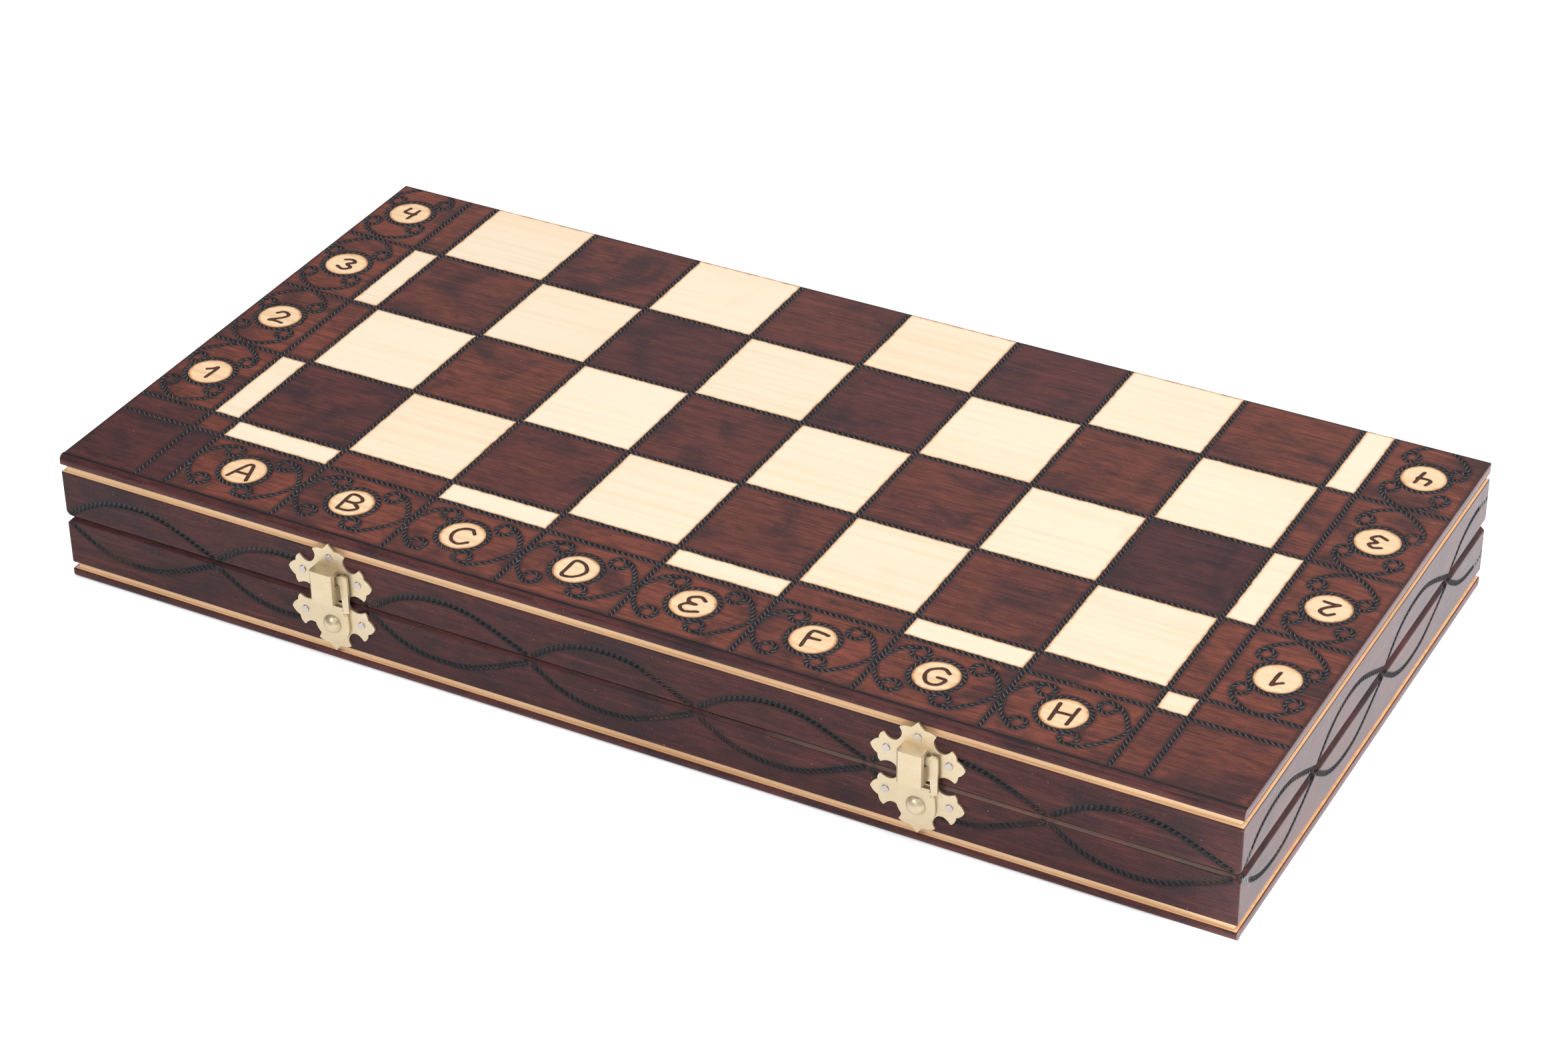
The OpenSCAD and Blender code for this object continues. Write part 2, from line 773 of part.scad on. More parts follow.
module right_hinge_pin() {
    color(steel_tone) hinge_pin(1);
}

module hinge_screws_lower() {
    color(brass_tone) hinge_screws();
}

module hinge_screws_upper() {
    color(brass_tone) upper_half() hinge_screws();
}

module left_catch_plate() {
    color(brass_tone) translate([latch_at(-1), 0, 0]) catch_plate();
}

module left_lever_plate() {
    color(brass_tone) translate([latch_at(-1), 0, 0]) lever_plate();
}

module left_latch_lever() {
    color(brass_tone) translate([latch_at(-1), 0, 0]) latch_lever();
}

module left_latch_rivet() {
    color(brass_tone) translate([latch_at(-1), 0, 0]) latch_rivet();
}

module right_catch_plate() {
    color(brass_tone) translate([latch_at(1), 0, 0]) catch_plate();
}

module right_lever_plate() {
    color(brass_tone) translate([latch_at(1), 0, 0]) lever_plate();
}

module right_latch_lever() {
    color(brass_tone) translate([latch_at(1), 0, 0]) latch_lever();
}

module right_latch_rivet() {
    color(brass_tone) translate([latch_at(1), 0, 0]) latch_rivet();
}

module catch_plate_nails() {
    color(steel_tone) nails(catch_nails);
}

module lever_plate_nails() {
    color(steel_tone) nails(lever_nails);
}

module white_queens_rook() {
    color(white_wood) lay_officer(0) rook();
}

module white_queens_knight() {
    color(white_wood) lay_officer(1) knight();
}

module white_queens_bishop() {
    color(white_wood) lay_officer(2) bishop();
}

module white_queen() {
    color(white_wood) lay_officer(3) queen();
}

module white_king() {
    color(white_wood) lay_officer(4) king();
}

module white_kings_bishop() {
    color(white_wood) lay_officer(5) bishop();
}

module white_kings_knight() {
    color(white_wood) lay_officer(6) knight();
}

module white_kings_rook() {
    color(white_wood) lay_officer(7) rook();
}

module white_pawns() {
    color(white_wood) pawn_row();
}

module white_base_pads() {
    color(felt_green) pad_rows();
}

module black_queens_rook() {
    color(black_wood) rolled_over() mirror([1, 0, 0]) lay_officer(0) rook();
}

module black_queens_knight() {
    color(black_wood) rolled_over() mirror([1, 0, 0]) lay_officer(1) knight();
}

module black_queens_bishop() {
    color(black_wood) rolled_over() mirror([1, 0, 0]) lay_officer(2) bishop();
}

module black_queen() {
    color(black_wood) rolled_over() mirror([1, 0, 0]) lay_officer(3) queen();
}

module black_king() {
    color(black_wood) rolled_over() mirror([1, 0, 0]) lay_officer(4) king();
}

module black_kings_bishop() {
    color(black_wood) rolled_over() mirror([1, 0, 0]) lay_officer(5) bishop();
}

module black_kings_knight() {
    color(black_wood) rolled_over() mirror([1, 0, 0]) lay_officer(6) knight();
}

module black_kings_rook() {
    color(black_wood) rolled_over() mirror([1, 0, 0]) lay_officer(7) rook();
}

module black_pawns() {
    color(black_wood) rolled_over() mirror([1, 0, 0]) pawn_row();
}

module black_base_pads() {
    color(felt_green) rolled_over() mirror([1, 0, 0]) pad_rows();
}

base_panel();
base_front_rail();
base_back_rail();
base_left_rail();
base_right_rail();
base_felt();
base_rack_near();
base_rack_far();
base_rack_pawns();
lid_panel();
lid_front_rail();
lid_back_rail();
lid_left_rail();
lid_right_rail();
lid_felt();
lid_rack_near();
lid_rack_far();
lid_rack_pawns();
left_hinge_lower_leaf();
left_hinge_upper_leaf();
left_hinge_pin();
right_hinge_lower_leaf();
right_hinge_upper_leaf();
right_hinge_pin();
hinge_screws_lower();
hinge_screws_upper();
left_catch_plate();
left_lever_plate();
left_latch_lever();
left_latch_rivet();
right_catch_plate();
right_lever_plate();
right_latch_lever();
right_latch_rivet();
catch_plate_nails();
lever_plate_nails();
white_queens_rook();
white_queens_knight();
white_queens_bishop();
white_queen();
white_king();
white_kings_bishop();
white_kings_knight();
white_kings_rook();
white_pawns();
white_base_pads();
black_queens_rook();
black_queens_knight();
black_queens_bishop();
black_queen();
black_king();
black_kings_bishop();
black_kings_knight();
black_kings_rook();
black_pawns();
black_base_pads();
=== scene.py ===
import math
import random

import bmesh
import bpy
import numpy as np
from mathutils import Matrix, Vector


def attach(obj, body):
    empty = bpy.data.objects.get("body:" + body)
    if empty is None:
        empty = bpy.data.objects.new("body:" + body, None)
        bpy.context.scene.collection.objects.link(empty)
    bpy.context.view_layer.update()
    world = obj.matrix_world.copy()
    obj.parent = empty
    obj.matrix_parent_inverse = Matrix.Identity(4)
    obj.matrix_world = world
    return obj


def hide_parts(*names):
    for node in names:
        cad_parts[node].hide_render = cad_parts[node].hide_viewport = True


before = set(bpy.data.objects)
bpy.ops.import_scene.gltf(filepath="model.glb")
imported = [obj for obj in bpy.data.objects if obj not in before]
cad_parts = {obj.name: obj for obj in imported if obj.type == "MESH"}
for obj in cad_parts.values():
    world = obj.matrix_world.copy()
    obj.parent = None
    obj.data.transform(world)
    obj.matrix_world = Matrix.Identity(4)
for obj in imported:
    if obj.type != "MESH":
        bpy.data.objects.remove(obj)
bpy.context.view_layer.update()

MM = 0.001
SQ = 48.0            # one square of the board, in mm
LENGTH, WIDTH, HEIGHT = 480.0, 241.0, 55.0
WALL = 9.0
FRONT = -WIDTH / 2
MID = HEIGHT / 2
HALF = MID - 0.1
rng = random.Random(7)


# ---------------------------------------------------------------- meshes

class Build:
    """Collects grids of points, in mm, with values per point, and makes one mesh of them."""

    NAMES = ("stain", "tone", "burn", "edge", "rope_s", "rope_t")
    PLAIN = {"stain": 1.0, "tone": 0.4, "burn": 0.0, "edge": 9.0, "rope_s": 0.0, "rope_t": 3.0}

    def __init__(self):
        self.points, self.quads, self.values = [], [], {n: [] for n in self.NAMES}
        self.count = 0

    def grid(self, p, outward=None, flip=False, **values):
        n, m = p.shape[:2]
        i, j = np.meshgrid(np.arange(n - 1), np.arange(m - 1), indexing="ij")
        a = (i * m + j).ravel()
        quads = np.stack([a, a + m, a + m + 1, a + 1], 1)
        if outward is not None:
            turn = np.cross(p[-1, 0] - p[0, 0], p[0, -1] - p[0, 0])
            if np.linalg.norm(turn) < 1e-9:
                turn = np.cross(p[1, 0] - p[0, 0], p[0, 1] - p[0, 0])
            flip = np.dot(turn, outward) < 0
        if flip:
            quads = quads[:, ::-1]
        self.points.append(p.reshape(-1, 3))
        self.quads.append(quads + self.count)
        self.count += n * m
        for name in self.NAMES:
            v = values.get(name, self.PLAIN[name])
            self.values[name].append(np.broadcast_to(np.asarray(v, float), (n, m)).ravel())

    def mesh(self, name, mirror_z=False, merge=False):
        p = np.concatenate(self.points)
        quads = np.concatenate(self.quads)
        if mirror_z:
            p = p * [1, 1, -1] + [0, 0, HEIGHT]
            quads = quads[:, ::-1]
        me = bpy.data.meshes.new(name)
        me.vertices.add(len(p))
        me.vertices.foreach_set("co", (p * MM).astype(np.float32).ravel())
        me.loops.add(4 * len(quads))
        me.loops.foreach_set("vertex_index", quads.astype(np.int32).ravel())
        me.polygons.add(len(quads))
        me.polygons.foreach_set("loop_start", np.arange(0, 4 * len(quads), 4, dtype=np.int32))
        me.update(calc_edges=True)
        for n in self.NAMES:
            a = me.attributes.new(n, "FLOAT", "POINT")
            a.data.foreach_set("value", np.concatenate(self.values[n]).astype(np.float32))
        me.validate()
        if merge:
            bm = bmesh.new()
            bm.from_mesh(me)
            bmesh.ops.remove_doubles(bm, verts=bm.verts, dist=1e-7)
            bm.to_mesh(me)
            bm.free()
            me.set_sharp_from_angle(angle=math.radians(40))
        me.polygons.foreach_set("use_smooth", np.ones(len(me.polygons), dtype=bool))
        return me


def piece(name, me, body, slot, material, *nodes):
    ob = bpy.data.objects.new(name, me)
    bpy.context.collection.objects.link(ob)
    me.materials.clear()
    me.materials.append(material)
    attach(ob, body)
    if nodes:
        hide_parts(*nodes)
    return ob


def curve(points, steps=8):
    """A smooth line through the points (Catmull-Rom)."""
    q = np.asarray(points, float)
    closed = np.allclose(q[0], q[-1])
    ends = (q[-2], q[1]) if closed else (2 * q[0] - q[1], 2 * q[-1] - q[-2])
    q = np.vstack([ends[0], q, ends[1]])
    out = []
    t = np.linspace(0, 1, steps, endpoint=False)[:, None]
    for k in range(1, len(q) - 2):
        a, b, c, d = q[k - 1], q[k], q[k + 1], q[k + 2]
        out.append(0.5 * (2 * b + (c - a) * t + (2 * a - 5 * b + 4 * c - d) * t ** 2
                          + (3 * b - a - 3 * c + d) * t ** 3))
    out.append(q[-2][None])
    return np.vstack(out)


def nearest(p, lines):
    """Distance, side and place along of the nearest of the lines, for points p (n, 2)."""
    best = np.full(len(p), 1e9)
    side = np.ones(len(p))
    along = np.zeros(len(p))
    for line in lines:
        a, b = line[:-1], line[1:]
        d = b - a
        l2 = np.maximum((d ** 2).sum(1), 1e-12)
        start = np.concatenate([[0], np.cumsum(np.sqrt(l2))[:-1]])
        near = ((p > line.min(0) - 6) & (p < line.max(0) + 6)).all(1)
        if not near.any():
            continue
        q = p[near]
        rel = q[:, None, :] - a[None]
        t = np.clip((rel * d).sum(2) / l2, 0, 1)
        off = rel - t[..., None] * d
        dist = np.sqrt((off ** 2).sum(2))
        k = dist.argmin(1)
        r = np.arange(len(q))
        dmin = dist[r, k]
        cross = d[k, 0] * off[r, k, 1] - d[k, 1] * off[r, k, 0]
        s = start[k] + t[r, k] * np.sqrt(l2[k])
        old = best[near]
        use = dmin < old
        idx = np.nonzero(near)[0][use]
        best[idx] = dmin[use]
        side[idx] = np.where(cross[use] < 0, -1, 1)
        along[idx] = s[use]
    return best, side, along


def smooth(x, lo, hi):
    t = np.clip((x - lo) / (hi - lo), 0, 1)
    return t * t * (3 - 2 * t)


# ---------------------------------------------------------------- the board panels

GLYPHS = {
    "A": [[(-.38, -.5), (-.12, .36), (.02, .5), (.14, .36), (.38, -.5)], [(-.26, -.14), (.28, -.12)]],
    "B": [[(-.3, -.5), (-.3, 0), (-.28, .5), (.08, .48), (.25, .26), (.05, .05), (-.26, .03)],
          [(.05, .05), (.34, -.2), (.12, -.47), (-.3, -.5)]],
    "C": [[(.32, .28), (.1, .5), (-.25, .35), (-.37, 0), (-.22, -.38), (.1, -.5), (.36, -.28)]],
    "D": [[(-.28, -.5), (-.3, 0), (-.26, .48), (.12, .42), (.38, 0), (.12, -.44), (-.28, -.5)]],
    "E": [[(.3, .34), (.05, .5), (-.25, .32), (-.18, .08), (.1, .02), (-.2, -.04), (-.34, -.28),
           (-.08, -.5), (.34, -.34)]],
    "F": [[(-.2, -.5), (-.24, 0), (-.22, .46), (.06, .5), (.34, .44)], [(-.24, .05), (.2, .08)]],
    "G": [[(.32, .32), (.05, .5), (-.3, .3), (-.37, -.05), (-.15, -.46), (.22, -.44), (.35, -.08),
           (.06, -.04)]],
    "H": [[(-.32, .5), (-.28, -.5)], [(.32, .5), (.3, -.5)], [(-.3, 0), (.3, .04)]],
    "1": [[(-.26, .16), (-.05, .34), (.1, .5), (.1, 0), (.06, -.5)]],
    "2": [[(-.3, .26), (-.05, .5), (.28, .3), (.12, -.06), (-.3, -.46), (0, -.42), (.36, -.46)]],
    "3": [[(-.28, .36), (.05, .5), (.28, .28), (0, .04), (.33, -.2), (.08, -.49), (-.3, -.34)]],
    "4": [[(-.24, .48), (-.32, .06), (0, .0), (.26, .06)], [(.24, .46), (.2, 0), (.12, -.5)]],
    "5": [[(.3, .48), (-.2, .47), (-.26, .08), (.1, .14), (.3, -.16), (.05, -.49), (-.3, -.38)]],
    "6": [[(.22, .46), (-.16, .3), (-.33, -.14), (-.1, -.49), (.25, -.36), (.24, -.04), (0, .07),
           (-.3, -.14)]],
    "7": [[(-.3, .42), (0, .48), (.32, .46), (.02, 0), (-.08, -.5)]],
    "8": [[(0, .02), (.25, .26), (0, .5), (-.25, .26), (0, .02), (.29, -.24), (0, -.5), (-.29, -.24),
           (0, .02)]],
}

# Scrolls beside a roundel, in squares from the middle of the cell: along the border, and outwards.
# Each one is a C whose two ends curl into small loops.
LOOP = .066


def loop(p, q, first, turn):
    """Points of a small loop about p, q from the angle first, turning the given way."""
    return [(p + LOOP * math.cos(math.radians(first + turn * a)),
             q + LOOP * math.sin(math.radians(first + turn * a))) for a in range(0, 331, 30)]


SCROLLS = [
    loop(-.225, -.21, -90, 1)[::-1]
    + [(-.31, -.258), (-.38, -.2), (-.43, -.115), (-.462, -.015), (-.45, .085), (-.415, .165),
       (-.355, .24)] + loop(-.25, .245, 120, -1),
    loop(.25, -.21, -90, -1)[::-1]
    + [(.335, -.245), (.41, -.165), (.46, -.08), (.488, -.01), (.465, .07), (.4, .17), (.33, .245),
       (.25, .31)] + loop(.15, .25, 80, 1),
]
RING_R, DISC_R, ROPE_W, SCROLL_W, SLANT = 9.8, 8.5, .92, .9, 1.15


def board_x(x):
    return (x - 4.045) * SQ


def board_w(y):
    return (y - 1.42) * SQ + WIDTH / 2


def fine_ends(a, b):
    """Places from a to b, close together near both."""
    steps = np.array([0, .25, .5, .8, 1.2, 1.7, 2.3])
    steps = steps[steps < (b - a) / 2]
    return np.concatenate([a + steps, b - steps[::-1]])


def ornate(x, w, centre, along, out, squeeze, glyph, right, up):
    """Height and values over the grid x, w of a border cell with its roundel, scrolls and glyph."""
    p = np.stack([x.ravel(), w.ravel()], 1)
    c = np.asarray(centre)
    ropes = [c + SQ * (curve(s, 6)[:, :1] * along + curve(s, 6)[:, 1:] * squeeze * out)
             for s in SCROLLS]
    d, side, s = nearest(p, ropes)
    rel = p - c
    r = np.hypot(rel[:, 0], rel[:, 1])
    ring = r - RING_R
    on_ring = np.abs(ring) < d
    d = np.where(on_ring, np.abs(ring), d)
    side = np.where(on_ring, np.sign(ring), side)
    s = np.where(on_ring, np.abs(np.arctan2(rel[:, 1], rel[:, 0])) * RING_R, s)
    wide, tall = (9.0, 8.2) if glyph.isdigit() else (11.0, 10.2)
    strokes = [c + wide * curve(g, 6)[:, :1] * right + tall * curve(g, 6)[:, 1:] * up for g in GLYPHS[glyph]]
    dg = nearest(p, strokes)[0]
    t = np.minimum(d / SCROLL_W, 3)
    h = -0.4 * np.clip(1 - t * t, 0, 1) - 0.35 * smooth(dg, .95, .3)
    return (h.reshape(x.shape), {
        "stain": np.clip(.5 + .5 * (r - DISC_R), 0, 1).reshape(x.shape),
        "burn": np.clip(1 - dg / 2, 0, 1).reshape(x.shape),
        "edge": np.abs(r - DISC_R).reshape(x.shape),
        "rope_s": (s + SLANT * side * np.minimum(t, 1.3)).reshape(x.shape),
        "rope_t": t.reshape(x.shape)})


def panel_mesh(upper):
    b = Build()

    def place(x, w, h):
        x, w, h = np.broadcast_arrays(x, w, h)
        return np.stack([x, FRONT + w, (HEIGHT + h) if upper else -h], -1)

    z_out = (0, 0, 1) if upper else (0, 0, -1)
    col_lines = [board_x(v) for v in [-.27] + list(range(9)) + [8.275]]
    row_lines = [board_w(v) for v in [-.265, 0, 1, 2, 3]]
    left, right, near, far = -LENGTH / 2 + .4, LENGTH / 2 - .4, 3.0, WIDTH - .4
    cols = list(zip([left] + [v + ROPE_W for v in col_lines], [v - ROPE_W for v in col_lines] + [right]))
    rows = list(zip([near] + [v + ROPE_W for v in row_lines], [v - ROPE_W for v in row_lines] + [far]))
    ex, ey = np.array([1.0, 0.0]), np.array([0.0, 1.0])
    pick = random.Random(11 if upper else 12)
    for ci, (x0, x1) in enumerate(cols):
        for ri, (w0, w1) in enumerate(rows):
            border = ri == 0 or ci in (0, 11)
            letter = ri == 0 and 2 <= ci <= 9
            number = ci in (0, 11) and ri >= 2
            if letter or number:
                n, m = int((x1 - x0) / .55), int((w1 - w0) / .55)
                x, w = np.meshgrid(np.linspace(x0, x1, n), np.linspace(w0, w1, m), indexing="ij")
                if letter:
                    centre = (board_x(ci - 2 + .47), board_w(-.615))
                    frame_of = (ex, -ey, 1.0)
                    glyph = "ABCDEFGH"[ci - 2]
                    turn = (ex, ey) if upper else (-ex, ey)
                elif ci == 0:
                    centre = (board_x(-.64), board_w(ri - 2 + .51))
                    frame_of = (ey, -ex, .9)
                    glyph = str(ri - 1) if upper else str(10 - ri)
                    turn = (ex, ey) if upper else (ex, -ey)
                else:
                    centre = (board_x(8.655), board_w(ri - 2 + .47))
                    frame_of = (ey, ex, .9)
                    glyph = str(ri - 1) if upper else str(10 - ri)
                    turn = (-ex, -ey) if upper else (-ex, ey)
                h, vals = ornate(x, w, centre, *frame_of, glyph, *turn)
                rim = np.minimum(np.minimum(x - x0, x1 - x), np.minimum(w - w0, w1 - w))
                h = h * smooth(rim, 0, .9)
                vals["edge"] = np.minimum(vals["edge"], rim)
                b.grid(place(x, w, h), z_out, tone=.78 + .1 * pick.random(), **vals)
                continue
            file, rank = ci - 2, ri - 2
            light = not border and ((file + rank) % 2 == 1) == upper
            narrow = not border and (ci in (1, 10) or ri == 1)
            if light:
                tone = .22 * pick.random()
            elif border:
                tone = (.5 if ci > 5 else .12) + .2 * pick.random()
            else:
                tone = (.8 if narrow else .1 + .62 * pick.random())
            x, w = np.meshgrid(fine_ends(x0, x1), fine_ends(w0, w1), indexing="ij")
            rim = np.minimum(np.minimum(x - x0, x1 - x), np.minimum(w - w0, w1 - w))
            b.grid(place(x, w, np.zeros_like(x)), z_out, edge=rim, stain=0.0 if light else 1.0, tone=tone)

    across = np.array([-1, -.85, -.6, -.3, 0, .3, .6, .85, 1.0])
    dip = -.42 * (1 - across ** 2)

    def rope(line, u0, u1, along_x):
        u = np.linspace(u0, u1, max(2, int((u1 - u0) / 10)))
        t, uu = np.meshgrid(across, u, indexing="ij")
        h = np.repeat(dip[:, None], len(u), 1)
        fade = np.clip(np.minimum(uu - u0, u1 - uu) / .8, 0, 1)
        x, w = (uu, line + t * ROPE_W) if along_x else (line + t * ROPE_W, uu)
        b.grid(place(x, w, h * fade), z_out, stain=1.0, tone=.6,
               rope_s=uu + 3 * line + SLANT * t, rope_t=np.abs(t))

    for v in col_lines:
        rope(v, near, far, False)
    for v in row_lines:
        for x0, x1 in cols:
            rope(v, x0, x1, True)

    # The rounded front edge, with the burnt crease behind it
    u = np.linspace(-LENGTH / 2, LENGTH / 2, 240)
    prof = [(3.0, 0), (2.8, -.03), (2.5, -.3), (2.2, -.42), (1.9, -.36), (1.75, -.12), (1.6, -.06)]
    prof += [(2 - 2 * math.sin(a), -2 + 2 * math.cos(a)) for a in np.radians(np.arange(14, 91, 9.5))]
    prof += [(0, -2.6), (0, -3.6), (.12, -3.88), (.4, -4)]
    pw = np.array([q[0] for q in prof])[:, None]
    ph = np.array([q[1] for q in prof])[:, None]
    crease = np.minimum(np.abs(pw - 2.3) / .42, 3) * np.ones((1, len(u)))
    b.grid(place(u[None], pw, ph), (0, -1, z_out[2]), tone=.22, rope_t=crease, rope_s=.5875)

    # Side, back and inner faces
    edge = [(0, 0), (.28, -.1), (.4, -.4), (.4, -2), (.4, -3.6), (.28, -3.88), (0, -4)]
    e_in = np.array([q[0] for q in edge])[:, None]
    e_h = np.array([q[1] for q in edge])[:, None]
    w = np.linspace(3.0, far, 60)[None]
    for side in (-1, 1):
        b.grid(place(side * (LENGTH / 2 - .4 + e_in), w, e_h), (side, 0, 0), tone=.3)
        # end caps of the rounded front edge
        cap_w, cap_h = pw[7:, 0], ph[7:, 0].copy()
        cap_h[0] = 0
        b.grid(np.stack([place(np.full_like(cap_w, side * LENGTH / 2), cap_w, cap_h),
                         place(np.full_like(cap_w, side * LENGTH / 2), np.full_like(cap_w, 3.0),
                               cap_h)]), (side, 0, 0), tone=.3)
    x = np.linspace(left, right, 100)[None]
    b.grid(place(x, far + e_in, e_h), (0, 1, 0), tone=.3)
    # the inner face, bare where it is one side of the groove
    x, w = np.meshgrid([-LENGTH / 2, left + .4, left + .6, left + 1.6, left + 1.8,
                        right - 1.8, right - 1.6, right - .6, right - .4, LENGTH / 2],
                       [.2, .8, 1.0, 2.0, 2.2, far - 1.8, far - 1.6, far - .6, far - .4, far], indexing="ij")
    rim = np.minimum(LENGTH / 2 - np.abs(x), np.minimum(w, WIDTH - w))
    b.grid(place(x, w, -4.0), (0, 0, -z_out[2]), stain=np.where((rim > .5) & (rim < 2.1), 0.0, 1.0),
           tone=np.where(rim < 2.1, .92, .5))
    return b.mesh("upper_board" if upper else "lower_board")


# ---------------------------------------------------------------- rails

# One stroke of the rope wave: share of its length, and distance from the parting line
WAVE = [(.035, 2.3), (.1, 5.4), (.2, 9.4), (.33, 12.2), (.48, 13.1), (.63, 12.0), (.78, 8.3), (.9, 4.6),
        (.985, 2.1)]


def wave_lines(start, pitch, count):
    return [curve([(start + pitch * (k + t), MID - a) for t, a in WAVE], 6) for k in range(count)]


FRONT_WAVES = wave_lines(.2, 1.42 * SQ, 7)
SIDE_WAVES = wave_lines(.5, 1.38 * SQ, 4)
LONG_CHAMFER, END_CHAMFER = 1.2, 2.4
GROOVE_ROWS = [(1.5, 4.0), (1.5, 5.5), (1.5, 6.85), (1.35, 7.0), (.4, 7.0), (.12, 7.12), (0, 7.4)]
FACE_LEVELS = list(np.arange(7.8, 24.6, .45)) + [24.75, 25.0, 25.25, 25.7, 25.95, 26.2, 26.45, 26.9, 27.4]
HINGE_ROWS = (GROOVE_ROWS + [(0.0, z) for z in (12.0, 18.0, 24.2, 24.6)]
              + [(-.15 + 2.9 * math.sin(a), 27.5 - 2.9 * math.cos(a))
                 for a in np.radians(np.arange(12, 68, 8.0))] + [(2.6, 26.4), (8.5, 26.4), (8.5, 27.4)])


def set_back(z, chamfer):
    """How far a rail's face is set back at the heights z by the chamfer at its rim, a little rounded."""
    x = z - (HALF - chamfer)
    return np.where(x > .25, x, np.clip(x + .25, 0, None) ** 2)


def rail_face(b, origin, udir, ndir, u0, u1, chamfer, corners, waves, step=.6, rows=None):
    """One outer face of a rail. corners are the chamfers of the next faces, or None at a butt joint."""
    if rows is None:
        z = np.array([q[1] for q in GROOVE_ROWS] + FACE_LEVELS)
        groove = np.array([q[0] for q in GROOVE_ROWS] + [0.0] * len(FACE_LEVELS))
        d = groove + set_back(z, chamfer)
        ends = [0 * d if c is None else groove + set_back(z, c) for c in corners]
    else:
        d = np.array([q[0] for q in rows])
        z = np.array([q[1] for q in rows])
        ends = [0 * d if c is None else np.minimum(d, 1.5) for c in corners]
    n = max(3, int((u1 - u0) / step))
    u = np.linspace(u0 + (.4 if corners[0] else 0), u1 - (.4 if corners[1] else 0), n)
    push = np.zeros(n)
    turn = [(.117, .117), (.25, .03)]
    if corners[0]:
        u = np.concatenate([[u0 + q[0] for q in turn], u])
        push = np.concatenate([[q[1] for q in turn], push])
    if corners[1]:
        u = np.concatenate([u, [u1 - q[0] for q in turn[::-1]]])
        push = np.concatenate([push, [q[1] for q in turn[::-1]]])
    share = (u[None] - u0) / (u1 - u0)
    uu = u[None] + ends[0][:, None] * (1 - share) - ends[1][:, None] * share
    zz = np.broadcast_to(z[:, None], uu.shape)
    inset = d[:, None] + push[None]
    flat_points = np.stack([uu.ravel(), zz.ravel()], 1)
    if waves:
        dist, side, s = nearest(flat_points, waves)
    else:
        dist, side, s = np.full(uu.size, 9.0), np.ones(uu.size), np.zeros(uu.size)
    t = np.minimum(dist / 1.12, 3).reshape(uu.shape)
    s = s + SLANT * side * np.minimum(dist / 1.12, 1.3)
    bare = zz < 7.06
    t = np.where(zz < 7.3, 3.0, t)
    depth = .38 * np.clip(1 - t * t, 0, 1)
    udir, ndir = np.asarray(udir, float), np.asarray(ndir, float)
    p = (np.asarray(origin, float) + uu[..., None] * udir - (inset + depth)[..., None] * ndir
         + zz[..., None] * np.array([0, 0, 1.0]))
    # painted highlight: the chamfer along the right half of the front gets less stain, so it shows lighter
    # where the lamps reflect off it
    chamfer_highlight = .41 * smooth(uu, 210, 320) * (zz > HALF - chamfer + .1)
    b.grid(p, ndir, stain=np.where(bare, 0.0, 1.0 - chamfer_highlight), tone=np.where(bare, .92, .3),
           rope_s=s.reshape(uu.shape), rope_t=t)


def flat(b, a, c, e, outward, **values):
    """A flat four-sided face: corner a and the two next corners."""
    a, c, e = (np.asarray(q, float) for q in (a, c, e))
    b.grid(np.array([[a, c], [e, c + e - a]]), outward, **values)


